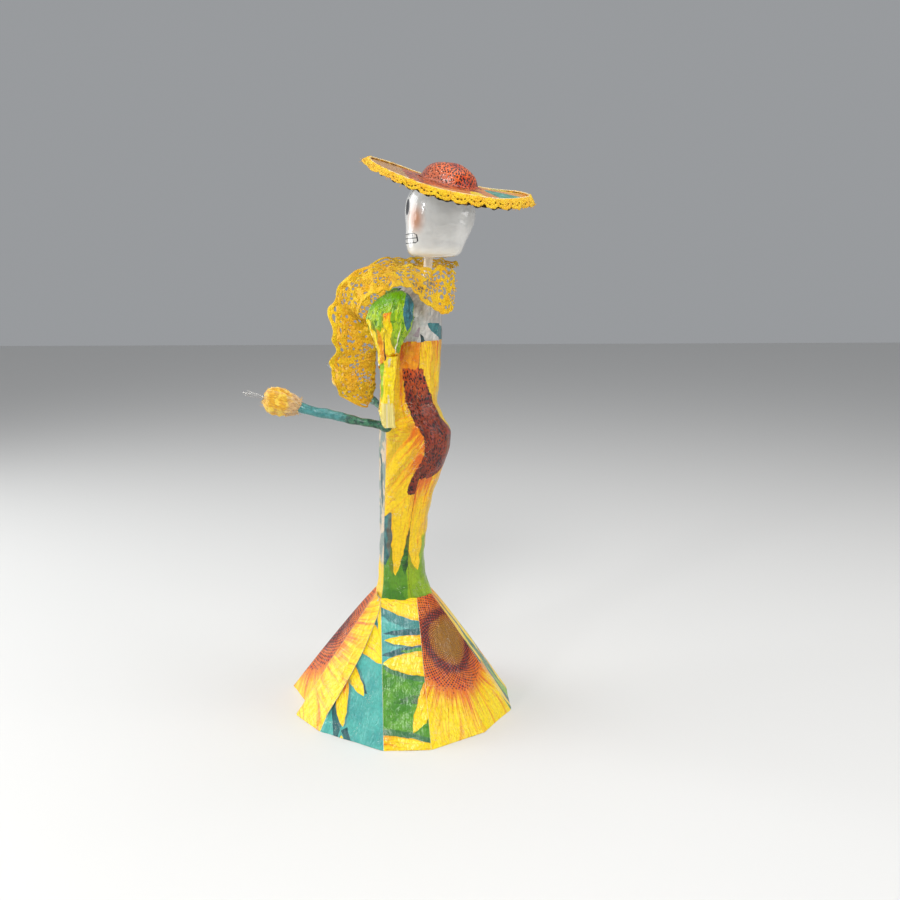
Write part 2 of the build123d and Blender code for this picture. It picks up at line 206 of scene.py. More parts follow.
def grid_faces(rows, columns, start=0, closed=False, flip=False):
    """Quads of a grid of points that is stored row by row; closed joins the last column to the first."""
    faces = []
    for r in range(rows - 1):
        for c in range(columns if closed else columns - 1):
            d = (c + 1) % columns
            quad = [start + r * columns + c, start + r * columns + d]
            quad += [start + (r + 1) * columns + d, start + (r + 1) * columns + c]
            faces.append(quad[::-1] if flip else quad)
    return faces


def band(one, other, columns):
    """Quads between two closed rings of points, which start at the given indices."""
    pairs = [(c, (c + 1) % columns) for c in range(columns)]
    return [[one + c, one + d, other + d, other + c] for c, d in pairs]


def cap(apex, ring, columns, flip=False):
    """Triangles between the point at index apex and a closed ring of points, which starts at index ring."""
    pairs = [(ring + c, ring + (c + 1) % columns) for c in range(columns)]
    return [[apex, *(pair[::-1] if flip else pair)] for pair in pairs]


def capped_faces(rows, columns):
    """Faces of a closed tube, whose two end points are stored after its grid."""
    end = rows * columns
    sides = grid_faces(rows, columns, closed=True)
    return sides + cap(end, 0, columns, flip=True) + cap(end + 1, end - columns, columns)


def loop_faces(rows, columns, flip=False):
    """Faces of a grid that is closed both ways, like a ring of tube."""
    faces = grid_faces(rows, columns, closed=True) + band((rows - 1) * columns, 0, columns)
    return [face[::-1] for face in faces] if flip else faces


def ring_card(top, low):
    """Points and faces of a flat ring, from the grids of its upper and lower face; its rims come last."""
    rows, columns = top.shape[:2]
    half = rows * columns
    faces = grid_faces(rows, columns, closed=True, flip=True) + grid_faces(rows, columns, start=half, closed=True)
    rims = band(half - columns, 2 * half - columns, columns) + band(half, 0, columns)
    return np.concatenate([top.reshape(-1, 3), low.reshape(-1, 3)]), faces + rims


def handed(points, faces, sign):
    """A shape made for the left side as it is, or mirrored for the right side."""
    return (points, faces) if sign > 0 else (points * (-1, 1, 1), [face[::-1] for face in faces])


def grid_normals(grid, closed=False):
    """Unit normals of a grid of points."""
    across = np.roll(grid, -1, 1) - np.roll(grid, 1, 1) if closed else np.gradient(grid, axis=1)
    return unit(np.cross(across, np.gradient(grid, axis=0)))


def outward_normals(grid, centre=(0.0, 0.0), closed=False):
    """Unit normals of a grid of points, turned away from the upright axis through centre."""
    normals = grid_normals(grid, closed)
    outward = (normals[..., :2] * (grid[..., :2] - np.array(centre))).sum() >= 0
    return normals if outward else -normals


def card(name, outer, printed, thickness, paint, inside):
    """A closed sheet of card: its outer face is the grid, and the rest of its thickness lies inside."""
    rows, columns = outer.shape[:2]
    normals = grid_normals(outer)
    flip = (normals * (outer - np.asarray(inside, float))).sum() < 0
    inner = outer - (-normals if flip else normals) * thickness
    points = np.concatenate([outer.reshape(-1, 3), inner.reshape(-1, 3)])
    half = rows * columns
    faces = grid_faces(rows, columns, flip=flip)
    slots = [0] * len(faces)
    faces += grid_faces(rows, columns, start=half, flip=not flip)
    rim = list(range(columns)) + [r * columns + columns - 1 for r in range(1, rows)]
    rim += [(rows - 1) * columns + c for c in range(columns - 2, -1, -1)]
    rim += [r * columns for r in range(rows - 2, 0, -1)]
    for a, b in zip(rim, rim[1:] + rim[:1]):
        quad = [b, a, a + half, b + half]
        faces.append(quad[::-1] if flip else quad)
    slots += [1] * (len(faces) - len(slots))
    both = np.concatenate([printed.reshape(-1, 3)] * 2)
    return make_mesh(name, points, faces, paint, both, slots)


def tube(path, radii, sides, roll=None):
    """Points of a closed tube along a path, and its faces; the ends are capped."""
    path = np.asarray(path, float)
    radii = np.broadcast_to(np.asarray(radii, float), (len(path),))
    forward = unit(np.gradient(path, axis=0))
    side = np.cross(forward, (0, 0, 1) if roll is None else roll)
    side = unit(np.where(np.linalg.norm(side, axis=1, keepdims=True) < 1e-3, np.cross(forward, (1, 0, 0)), side))
    up = np.cross(side, forward)
    turn = around(sides)
    ring = side[:, None] * np.cos(turn)[None, :, None] + up[:, None] * np.sin(turn)[None, :, None]
    grid = path[:, None] + ring * radii[:, None, None]
    return np.concatenate([grid.reshape(-1, 3), path[:1], path[-1:]]), capped_faces(len(path), sides)


def joined(parts):
    """Several (points, faces) as one."""
    points, faces, start = [], [], 0
    for some, quads in parts:
        points.append(some)
        faces += [[i + start for i in q] for q in quads]
        start += len(some)
    return np.concatenate(points), faces


def openwork(field, place, normal, thickness, pitch):
    """Lace as a solid: threads where the field is above zero, thinning to nothing at each hole's edge."""
    points, printed, index = [], [], {}
    half = 0.5 * thickness

    def point(key, r, c, level):
        if key not in index:
            here, out = place(r, c), normal(r, c)
            rise = math.sqrt(min(max(level, 0.0), 1.0))
            spot = (c * pitch, r * pitch, rise)
            if rise < 1e-6:
                index[key] = (len(points), len(points))
                points.append(here)
                printed.append(spot)
            else:
                index[key] = (len(points), len(points) + 1)
                points.extend([here + out * (half * rise), here - out * (half * rise)])
                printed.extend([spot] * 2)
        return index[key]

    def crossing(r0, c0, r1, c1):
        a, b = field[r0, c0], field[r1, c1]
        share = min(max(a / (a - b), 0.02), 0.98)
        return point((r0, c0, r1, c1), r0 + (r1 - r0) * share, c0 + (c1 - c0) * share, 0.0)

    faces = []
    inside = field > 0
    some = inside[:-1, :-1] | inside[1:, :-1] | inside[:-1, 1:] | inside[1:, 1:]
    for r, c in zip(*np.nonzero(some)):
        corners = [(r, c), (r, c + 1), (r + 1, c + 1), (r + 1, c)]
        loop = []
        for one, other in zip(corners, corners[1:] + corners[:1]):
            if inside[one]:
                loop.append(point(one, *one, field[one]))
            if inside[one] != inside[other]:
                first, second = sorted((one, other))
                loop.append(crossing(*first, *second))
        if len(loop) >= 3:
            faces.append([p[0] for p in loop])
            faces.append([p[1] for p in reversed(loop)])
    # A grid edge on the sheet's border has no neighbour, so its two faces are joined there
    border = {}
    for face in faces[::2]:
        for a, b in zip(face, face[1:] + face[:1]):
            border[(a, b)] = border.get((a, b), 0) + 1
    twin = {p[0]: p[1] for p in index.values()}
    for a, b in list(border):
        if (b, a) not in border and (twin[a] != a or twin[b] != b):
            quad = [b, a, twin[a], twin[b]]
            faces.append([q for i, q in enumerate(quad) if q != quad[i - 1]])
    return np.array(points), faces, np.array(printed)


# Materials: sockets with arithmetic, so that a pattern reads as a formula


def feed(socket, value):
    """Links a wire to a socket or sets its value; None leaves it as it is."""
    if isinstance(value, Wire):
        value.tree.links.new(value.socket, socket)
    elif value is not None:
        socket.default_value = value


def add(kind, *values, tree=None, **settings):
    """A node, with its inputs linked to wires or set to values; it goes where the wires are, or into tree."""
    tree = tree or next(value.tree for value in values if isinstance(value, Wire))
    node = tree.nodes.new("ShaderNode" + kind)
    for name, value in settings.items():
        setattr(node, name, value)
    for socket, value in zip(node.inputs, values):
        feed(socket, value)
    return node


class Wire:
    """A socket whose arithmetic makes nodes."""

    def __init__(self, socket):
        self.tree, self.socket = socket.id_data, socket

    def math(self, operation, *others, **settings):
        return Wire(add("Math", self, *others, operation=operation, **settings).outputs[0])

    def __add__(self, other):
        return self.math("ADD", other)

    def __sub__(self, other):
        return self.math("SUBTRACT", other)

    def __mul__(self, other):
        return self.math("MULTIPLY", other)

    def __truediv__(self, other):
        return self.math("DIVIDE", other)

    def __pow__(self, other):
        return self.math("POWER", other)

    def __abs__(self):
        return self.math("ABSOLUTE")

    def ramp(self, low, high):
        """0 at low, 1 at high, eased between."""
        node = add("MapRange", self, low, high, 0.0, 1.0, interpolation_type="SMOOTHSTEP")
        return Wire(node.outputs[0])

    def parts(self):
        node = add("SeparateXYZ", self)
        return [Wire(node.outputs[i]) for i in range(3)]

    def minus(self, other):
        node = add("VectorMath", self, other, operation="SUBTRACT")
        return Wire(node.outputs[0])

    def length(self):
        node = add("VectorMath", self, operation="LENGTH")
        return Wire(node.outputs["Value"])


def vector(x, y, z=0.0):
    return Wire(add("CombineXYZ", x, y, z).outputs[0])


def most(first, *others):
    """The greatest of several wires."""
    for other in others:
        first = first.math("MAXIMUM", other)
    return first


def mix(share, a, b, how="MIX"):
    """Colours a and b mixed by share."""
    return Wire(add("Mix", share, *[None] * 5, a, b, data_type="RGBA", blend_type=how).outputs[2])


def rgb(red, green, blue):
    return (red, green, blue, 1.0)


def noise(point, scale, detail=2.0, roughness=0.5):
    """Soft noise from 0 to 1."""
    return Wire(add("TexNoise", point, None, scale, detail, roughness).outputs[0])


def jitter(point, scale, amount, detail=2.0):
    """Noise about zero, from minus to plus half of the amount."""
    return (noise(point, scale, detail) - 0.5) * amount


def random_of(point):
    """A number from 0 to 1 that is the same wherever point is the same."""
    return Wire(add("TexWhiteNoise", point, noise_dimensions="3D").outputs[0])


def group(name, inputs, outputs, build):
    """A node group; build gets its input wires and gives its output wires."""
    tree = bpy.data.node_groups.new(name, "ShaderNodeTree")
    kinds = {"float": "NodeSocketFloat", "vector": "NodeSocketVector", "color": "NodeSocketColor"}
    for label, kind in inputs:
        tree.interface.new_socket(name=label, in_out="INPUT", socket_type=kinds[kind])
    for label, kind in outputs:
        tree.interface.new_socket(name=label, in_out="OUTPUT", socket_type=kinds[kind])
    source = tree.nodes.new("NodeGroupInput")
    sink = tree.nodes.new("NodeGroupOutput")
    for socket, wire in zip(sink.inputs, build(*[Wire(s) for s in source.outputs[: len(inputs)]])):
        tree.links.new(wire.socket, socket)
    return tree


def use(shared, *values):
    """A shared node group with the given inputs, as its output wires."""
    return [Wire(socket) for socket in add("Group", *values, node_tree=shared).outputs]


# Inks of the sunflower print
YELLOW = rgb(1.0, 0.76, 0.0)
DEEP_YELLOW = rgb(0.96, 0.46, 0.0)
ORANGE = rgb(0.78, 0.16, 0.003)
FLAME = rgb(0.66, 0.065, 0.008)
BRICK = rgb(0.40, 0.028, 0.006)
MAROON = rgb(0.045, 0.005, 0.004)
SOOT = rgb(0.012, 0.003, 0.003)
GOLD_BROWN = rgb(0.16, 0.055, 0.005)
SEED_GOLD = rgb(0.64, 0.30, 0.012)
TURQUOISE = rgb(0.085, 0.46, 0.40)
DEEP_TURQUOISE = rgb(0.06, 0.37, 0.34)
DARK_TEAL = rgb(0.012, 0.085, 0.10)
GREEN = rgb(0.055, 0.26, 0.012)
LIME = rgb(0.30, 0.54, 0.0)
DARK_GREEN = rgb(0.012, 0.07, 0.02)
PALE = rgb(0.66, 0.63, 0.58)
CREAM = rgb(0.80, 0.70, 0.45)


def petal_colour(along, across, seed):
    """Yellow with orange streaks that run along the petal and are strongest at its base."""
    grain = noise(vector(across * 3.2, along * 1.1, seed), 1.6, 3.0)
    fine = noise(vector(across * 9.0, along * 1.6, seed + 3.0), 1.5, 2.0)
    base = (along * -1.15 + 1.0).ramp(0.0, 1.0)
    streak = (grain * 0.75 + fine * 0.35 + base * 0.38).ramp(0.66, 1.02)
    colour = mix(streak, YELLOW, DEEP_YELLOW)
    colour = mix((streak * base).ramp(0.35, 1.0), colour, ORANGE)
    vein = abs(noise(vector(across * 2.2, along * 0.7, seed + 9.0), 1.4, 1.0) - 0.5).ramp(0.022, 0.006)
    colour = mix(vein * 0.55, colour, ORANGE)
    rim = abs(across).ramp(0.78, 1.0)
    return mix(rim * 0.7, colour, DEEP_YELLOW)


def build_leaf(point, base, tip, width, seed):
    """One petal or leaf from base to tip, with a pointed end."""
    span = tip.minus(base)
    reach = span.length()
    away = point.minus(base)
    sx, sy, _ = span.parts()
    ax, ay, _ = away.parts()
    wobble = jitter(point, 0.16, 2.4, 1.0)
    along = (ax * sx + ay * sy) / (reach * reach)
    across = ((ay * sx - ax * sy) / reach + wobble) / (width * 0.5)
    room = (((along.math("MAXIMUM", 0.0) ** 2.4) * -1.0 + 1.0).math("MAXIMUM", 0.0)) ** 0.7
    edge = (room - abs(across)) * width
    mask = edge.ramp(0.0, 0.35) * along.ramp(-0.02, 0.0)
    shade = ((room * 1.15 - abs(across + 0.3)) * width).ramp(-0.6, 1.6) * along.ramp(-0.05, 0.02)
    inner = across / room.math("MAXIMUM", 0.05)
    return [mask, shade, petal_colour(along, inner, seed)]


LEAF = group(
    "leaf",
    [("point", "vector"), ("base", "vector"), ("tip", "vector"), ("width", "float"), ("seed", "float")],
    [("mask", "float"), ("shade", "float"), ("colour", "color")],
    build_leaf,
)


def floret_ink(chance, spot, wash, dark):
    """Flame-coloured florets with a black dash in each; dark runs from 0, bright, to 1, nearly black."""
    flame = mix((wash + chance * 0.35).ramp(0.38, 0.80), FLAME, ORANGE)
    flame = mix(dark.ramp(0.25, 1.0), flame, BRICK)
    dash = spot + (dark * -0.16) + chance * 0.12
    return mix(dash.ramp(0.42, 0.30), flame, SOOT)


def build_florets(point, seed):
    """A field of florets: short black dashes that lean one way, denser and darker in patches."""
    x, y, _ = point.parts()
    wash = noise(point, 0.10, 3.0)
    lean = vector(x * 1.05 + y * 0.45, y * 0.62 - x * 0.20, 0.0)
    lean = Wire(add("VectorMath", lean, (wash * 2.2), operation="ADD").outputs[0])
    spots = add("TexVoronoi", lean, None, 0.62, voronoi_dimensions="2D")
    spots.inputs["Randomness"].default_value = 0.8
    spot, chance = Wire(spots.outputs["Distance"]), random_of(Wire(spots.outputs["Position"]))
    dark = wash.ramp(0.38, 0.66)
    ridge = abs(noise(vector(x * 0.5, y * 0.12, seed), 0.5, 2.0) - 0.5).ramp(0.05, 0.0)
    ink = floret_ink(chance, spot * 1.15, wash, dark)
    return [mix(ridge * 0.5, ink, ORANGE)]


FLORETS = group("florets", [("point", "vector"), ("seed", "float")], [("colour", "color")], build_florets)


def build_sunflower(point, centre, radius, seed):
    """A sunflower whose florets end at radius: a golden middle, a dark band, a flame ring, and petals."""
    x, y, _ = point.minus(centre).parts()
    away = (x * x + y * y).math("SQRT") / radius
    turn = y.math("ARCTAN2", x)
    swirl = (away.math("MAXIMUM", 0.02)).math("LOGARITHM", math.e)
    # Florets sit where two families of spirals cross: a coarser pair in the middle than in the ring
    lattice = []
    for one, other in ((34.0, 55.0), (55.0, 89.0)):
        first = (turn * one + swirl * other) / TAU
        second = (turn * other - swirl * one) / TAU
        chance = random_of(vector(first.math("FLOOR"), second.math("FLOOR"), seed))
        cx, cy = first.math("FRACT") - 0.5, second.math("FRACT") - 0.5
        lattice.append((chance, (cx * cx + cy * cy).math("SQRT")))
    (luck, seeds), (chance, spot) = lattice
    wash = noise(point, 0.09, 3.0)
    zone = away + (wash - 0.5) * 0.14
    middle = mix((seeds + luck * 0.1).ramp(0.46, 0.26), GOLD_BROWN, SEED_GOLD)
    middle = mix(zone.ramp(0.30, 0.46) * 0.30, middle, BRICK)
    band = mix((seeds + luck * 0.1).ramp(0.46, 0.26), MAROON, BRICK)
    flame = floret_ink(chance, spot, wash, zone * -2.2 + 1.85)
    colour = mix(zone.ramp(0.44, 0.50), middle, band)
    colour = mix(zone.ramp(0.58, 0.68), colour, flame)
    edge = (away - chance * 0.14).ramp(0.94, 0.90)
    under, mask = None, None
    for count, phase, reach in ((19, 0.3, 2.75), (23, 0.0, 2.45)):
        lane = turn * (count / TAU) + phase + (swirl * 0.25)
        own = random_of(vector(lane.math("FLOOR"), seed, float(count)))
        side = lane.math("FRACT") - 0.5
        along = (away - 0.86) / (own * 0.8 + (reach - 0.86 - 0.4))
        room = (((along.math("MAXIMUM", 0.0) ** 2.2) * -1.0 + 1.0).math("MAXIMUM", 0.0) ** 0.7) * 0.56
        here = ((room - abs(side)) * away * radius * (TAU / count)).ramp(0.0, 0.4) * along.ramp(-0.02, 0.0)
        ink = petal_colour(along, side / room.math("MAXIMUM", 0.04), own * 37.0)
        if under is None:
            under, mask = ink, here
        else:
            gap = ((room * 1.12 - abs(side + 0.05)) * away * radius * (TAU / count)).ramp(-0.8, 1.2)
            under = mix(gap * 0.6 * along.ramp(-0.05, 0.1), under, ORANGE)
            under = mix(here, under, ink)
            mask = mask.math("MAXIMUM", here)
    glow = mix(away.ramp(1.22, 0.95) * 0.7, under, ORANGE)
    return [mix(edge, glow, colour), mask.math("MAXIMUM", edge)]


SUNFLOWER = group(
    "sunflower",
    [("point", "vector"), ("centre", "vector"), ("radius", "float"), ("seed", "float")],
    [("colour", "color"), ("mask", "float")],
    build_sunflower,
)


def new_material(name, **values):
    """A material, its node tree and its shader, with the shader's own values set."""
    material = bpy.data.materials.new(name)
    material.use_nodes = True
    shader = material.node_tree.nodes["Principled BSDF"]
    for label, value in values.items():
        shader.inputs[label.replace("_", " ")].default_value = value
    return material, material.node_tree, shader


def set_input(shader, label, wire):
    feed(shader.inputs[label], wire)


def bump(shader, height, distance, strength=1.0, coat=False):
    node = add("Bump", strength, tree=height.tree)
    node.inputs["Distance"].default_value = distance
    feed(node.inputs["Height"], height)
    for label in ("Normal", "Coat Normal") if coat else ("Normal",):
        set_input(shader, label, Wire(node.outputs[0]))


def printed_point(tree):
    """Where a point lies on its printed paper or lace: across, along, and how far from a seam or a hole."""
    return Wire(add("Attribute", tree=tree, attribute_name="print").outputs["Vector"])


def place(tree):
    """The point's place on the object, in millimetres."""
    spot = add("TexCoord", tree=tree).outputs["Object"]
    node = add("VectorMath", Wire(spot), operation="SCALE")
    node.inputs["Scale"].default_value = 1 / MM
    return Wire(node.outputs[0])


VARNISH = dict(Roughness=0.45, Specular_IOR_Level=0.25, Coat_Weight=0.5, Coat_Roughness=0.07, Coat_IOR=1.5)
BROWN_LINE = rgb(0.10, 0.04, 0.005)


def varnished(shader, colour, point, wrinkle=1.0, edge=None, worn_to=0.3):
    """Varnished paper: mottled ink, pasted wrinkles, worn or dark seams, and a coat that pools unevenly."""
    x, y, seam = point.parts()
    flat = vector(x, y, 0.0)
    mottle = noise(flat, 0.55, 4.0, 0.6)
    colour = mix(mottle.ramp(0.35, 0.80) * 0.30, colour, rgb(0.30, 0.14, 0.02), "MULTIPLY")
    # Fine cracks where the paper was folded or rubbed
    crack = abs(noise(flat, 0.10, 4.0, 0.62) - 0.5).ramp(0.0045, 0.0010)
    colour = mix(crack * noise(flat, 0.045, 2.0).ramp(0.50, 0.66) * 0.8, colour, rgb(0.9, 0.86, 0.72))
    if edge is not None:
        worn = (seam + jitter(flat, 0.7, 0.7, 3.0)).ramp(worn_to, 0.06)
        colour = mix(worn * 0.75, colour, edge)
    set_input(shader, "Base Color", colour)
    folds = noise(flat, 0.11, 3.0, 0.55)
    pleat = abs(noise(vector(x * 0.35, y * 0.08, 7.0), 1.0, 2.0) - 0.5)
    fibres = noise(flat, 2.2, 3.0, 0.6)
    height = folds * 1.6 + pleat.ramp(0.0, 0.06) * 0.24 + fibres * 0.06 + mottle * 0.10 - crack * 0.1
    bump(shader, height * wrinkle, 0.0010, 0.8, coat=True)
    rough = noise(flat, 0.25, 4.0, 0.65).ramp(0.35, 0.75) * 0.22 + 0.32
    set_input(shader, "Roughness", rough)


def edge_at(along, keys, low, high):
    """How far across the paper an edge lies, at each height: a curve through keys of (height, across)."""
    node = add("FloatCurve", tree=along.tree)
    curve = node.mapping.curves[0]
    spots = sorted(((h - low) / (high - low), (x + 40) / 80) for h, x in keys)
    curve.points[0].location, curve.points[-1].location = spots[0], spots[-1]
    for spot in spots[1:-1]:
        curve.points.new(*spot)
    node.mapping.update()
    share = (along - low) / (high - low)
    feed(node.inputs["Value"], share)
    return Wire(node.outputs[0]) * 80.0 - 40.0


def paper_print(name, ground, features, wrinkle=1.0, tone=None, edge=CREAM, worn_to=0.3):
    """Printed paper: a ground, then flowers, petals and leaves on top of each other, then varnish."""
    material, tree, shader = new_material(name, **VARNISH)
    point = printed_point(tree)
    x, y, _ = point.parts()
    flat = vector(x, y, 0.0)
    colour = ground(flat, x, y)
    for number, (kind, *facts) in enumerate(features):
        if kind == "band":
            left, right, low, high = facts
            ragged = jitter(flat, 0.35, 3.5, 3.0)
            inside = (x + ragged - edge_at(y, left, low, high)).ramp(-0.3, 0.3)
            inside = inside * (edge_at(y, right, low, high) - x + ragged).ramp(-0.3, 0.3)
            inside = inside * (y + ragged * 1.6).ramp(low - 0.4, low) * (y + ragged * 1.6).ramp(high, high - 0.4)
            florets = use(FLORETS, flat, float(number + 1))[0]
            deep = (y + ragged * 4.0).ramp(244, 204) * 0.9
            florets = mix(deep, florets, rgb(0.30, 0.16, 0.22), "MULTIPLY")
            colour = mix(inside, colour, florets)
            continue
        if kind == "flower":
            centre, radius = facts
            ink, mask = use(SUNFLOWER, flat, (*centre, 0), radius, float(number + 1))
            colour = mix(mask, colour, ink)
            continue
        base, tip, width = facts
        mask, shade, ink = use(LEAF, flat, (*base, 0), (*tip, 0), width, float(number + 1))
        if kind in ("petal", "gold"):
            under, depth = (DARK_TEAL, 0.55) if kind == "petal" else (rgb(0.35, 0.13, 0.0), 0.28)
            colour = mix(shade * depth, colour, under)
            colour = mix(mask, colour, ink)
        elif kind == "florets":
            colour = mix(mask, colour, use(FLORETS, flat, float(number + 1))[0])
        else:
            shift = noise(flat, 0.2, 3.0).ramp(0.3, 0.7)
            colour = mix(mask, colour, mix(shift, *kind))
    if tone is not None:
        colour = mix(1.0, colour, tone, "MULTIPLY")
    varnished(shader, colour, point, wrinkle, edge, worn_to)
    return material


TEAL_PAIR = (DARK_TEAL, rgb(0.02, 0.15, 0.15))
GREEN_PAIR = (GREEN, rgb(0.11, 0.36, 0.015))
LIME_PAIR = (LIME, rgb(0.18, 0.42, 0.0))
PALE_PAIR = (PALE, rgb(0.40, 0.42, 0.40))
ORANGE_PAIR = (rgb(0.85, 0.26, 0.0), DEEP_YELLOW)


def plain_ground(first, second, scale=0.05):
    """One ink that drifts into another."""

    def ground(flat, x, y):
        return mix(noise(flat, scale, 2.0).ramp(0.40, 0.60), first, second)

    return ground


def split_ground(before, after, at, ragged=6.0):
    """One pair of inks up to a height on the paper, and another beyond it."""

    def ground(flat, x, y):
        low = mix(noise(flat, 0.08, 2.0).ramp(0.40, 0.60), *before)
        high = mix(noise(flat, 0.08, 2.0).ramp(0.42, 0.58), *after)
        line = y + (noise(flat, 0.06, 1.0) - 0.5) * ragged
        return mix(line.ramp(at - 0.6, at + 0.6), low, high)

    return ground


def plain_paint(name, colour, other, scale, strength, distance, roughness, **values):
    """A material that is one stuff all over: two tones in a fine noise, with a bump."""
    material, tree, shader = new_material(name, **values)
    here = place(tree)
    grain = noise(here, scale, 4.0, 0.6)
    set_input(shader, "Base Color", mix(grain.ramp(0.35, 0.68), colour, other))
    set_input(shader, "Roughness", grain * 0.2 + (roughness - 0.1))
    bump(shader, noise(here, scale * 2.5, 3.0), distance, strength)
    return material


EDGE_CARD = plain_paint("cut_card_edge", rgb(0.72, 0.62, 0.42), rgb(0.55, 0.43, 0.25), 1.2, 0.6, 0.0003, 0.75)

# Skirt


def skirt_outline(heights):
    """The thirteen corners of the skirt at each height: an array of heights by corners by two."""
    share = np.clip(1 - np.asarray(heights, float) / SKIRT_TOP, 0, 1) ** FLARE
    neck, hem = np.array(SKIRT_NECK, float), np.array(HEM, float)
    return neck + (hem - neck) * share[:, None, None]


SKIRT_ROWS = 90


def gore_grid(corners, origin_corner=None, per_side=26):
    """A gore's outer face, and where each point lies on its paper: across, down from the top, to the seam."""
    heights = np.linspace(SKIRT_TOP, 0, SKIRT_ROWS)
    outline = skirt_outline(heights)[:, list(corners)]
    sides = np.linalg.norm(np.diff(outline, axis=1), axis=2)
    along = np.concatenate([np.zeros((len(heights), 1)), np.cumsum(sides, axis=1)], axis=1)
    columns = []
    for i in range(len(corners) - 1):
        for share in np.linspace(0, 1, per_side, endpoint=i == len(corners) - 2):
            xy = outline[:, i] * (1 - share) + outline[:, i + 1] * share
            columns.append((xy, along[:, i] * (1 - share) + along[:, i + 1] * share))
    grid = np.zeros((len(heights), len(columns), 3))
    printed = np.zeros_like(grid)
    middle = (outline[:, 0] + outline[:, -1]) / 2
    drop = np.hypot(np.linalg.norm(np.diff(middle, axis=0), axis=1), -np.diff(heights))
    slant = np.concatenate([[0], np.cumsum(drop)])
    zero = along[:, -1] / 2 if origin_corner is None else along[:, corners.index(origin_corner)]
    for c, (xy, place_on) in enumerate(columns):
        grid[:, c, :2], grid[:, c, 2] = xy, heights
        printed[:, c, 0] = place_on - zero
        printed[:, c, 1] = slant
        printed[:, c, 2] = np.minimum(place_on, along[:, -1] - place_on)
    return grid, printed


def buckled(grid, printed, seed, amount):
    """The grid pushed in and out a little away from its seams, as pasted card dries."""
    normals = outward_normals(grid)
    free = np.clip(printed[..., 2] / 5, 0, 1)[..., None]
    level = ripple(printed[..., 0], printed[..., 1], 26, seed)[..., None] * amount
    rounded = -0.35 * np.exp(-printed[..., 2] / 0.5)[..., None]
    moved = grid + normals * (free * level + rounded)
    moved[..., 2] = np.clip(moved[..., 2], 0, None)
    return moved


FRONT_FLOWER = ("flower", (-42, 36), 52)
SKIRT_PRINTS = {
    "front": (plain_ground(YELLOW, YELLOW), [FRONT_FLOWER]),
    "front_left": (plain_ground(YELLOW, YELLOW), [FRONT_FLOWER]),
    "left_front": (
        plain_ground(TURQUOISE, DEEP_TURQUOISE),
        [
            ("petal", (-20, 18), (22, 41), 22),
            ("petal", (8, -14), (12, 34), 20),
            (TEAL_PAIR, (-14, 47), (5.5, 62), 8),
            ("petal", (-16, 46), (3.3, 63.7), 11),
            (TEAL_PAIR, (-18, 60), (-11, 98), 9),
            ("petal", (-16, 58), (-8.9, 86), 11),
            (TEAL_PAIR, (-7, 87), (3, 100), 5),
            ("petal", (-6, 100), (-8, 91), 5),
        ],
    ),
    "left": (
        split_ground((TURQUOISE, DEEP_TURQUOISE), GREEN_PAIR, 45),
        [
            ("petal", (30, 3), (-20, -3), 32),
            (TEAL_PAIR, (18, 23.5), (-12, 24), 5.2),
            ("petal", (21, 29.5), (-11, 29), 8.5),
            (TEAL_PAIR, (17, 35.5), (-13, 38.5), 7.5),
            (GREEN_PAIR, (19, 34.8), (-1, 36.5), 4),
            ("petal", (24, 44.5), (-12.7, 43.9), 17),
            ((DARK_GREEN, GREEN), (16, 66), (-8, 69), 6),
            ("gold", (19, 58), (4, 91), 12),
            (GREEN_PAIR, (5, 94), (15, 82), 8),
            ("petal", (-24, 97), (20, 98), 17),
        ],
    ),
    "back_left": (plain_ground(YELLOW, YELLOW), [("flower", (4, 32), 34)]),
    "back": (
        plain_ground(GREEN, DARK_TEAL),
        [
            ("petal", (-8, 0), (-9, 70), 9),
            ("petal", (3, -4), (8, 62), 12),
            ("petal", (-16, 60), (-12, 104), 11),
            (LIME_PAIR, (6, 104), (-3, 66), 12),
            ("petal", (18, 60), (14, 104), 13),
        ],
    ),
    "back_right": (plain_ground(TURQUOISE, DEEP_TURQUOISE), [("flower", (-8, 62), 27)]),
    "right": (
        split_ground(LIME_PAIR, (GREEN, DARK_GREEN), 40),
        [("petal", (-18, 10), (14, 22), 14), ("petal", (-20, 50), (15, 60), 16), ("petal", (20, 78), (-12, 90), 14)],
    ),
    "right_front": (plain_ground(TURQUOISE, DEEP_TURQUOISE), [("flower", (16, 78), 24)]),
    "front_right": (
        plain_ground(YELLOW, DEEP_YELLOW),
        [(TEAL_PAIR, (-10, 96), (2, 50), 12), ("gold", (4, 10), (-4, 74), 15), ("gold", (10, 40), (14, 98), 13)],
    ),
}
GORE_CORNERS = {
    "front": (12, 0, 1),
    "front_left": (1, 2),
    "left_front": (2, 3),
    "left": (3, 4),
    "back_left": (4, 5, 6),
    "back": (6, 7),
    "back_right": (7, 8, 9),
    "right": (9, 10),
    "right_front": (10, 11),
    "front_right": (11, 12),
}
GORE_CARD = 0.8
FLAP_REACH = ([0, 10, 22, 35, 50, 65, 83], [2.2, 5.8, 7.0, 7.4, 6.3, 4.2, 0.6])


def ride_as(thing, body, slot, *nodes):
    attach(thing, body)
    if nodes:
        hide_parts(*nodes)
    return thing


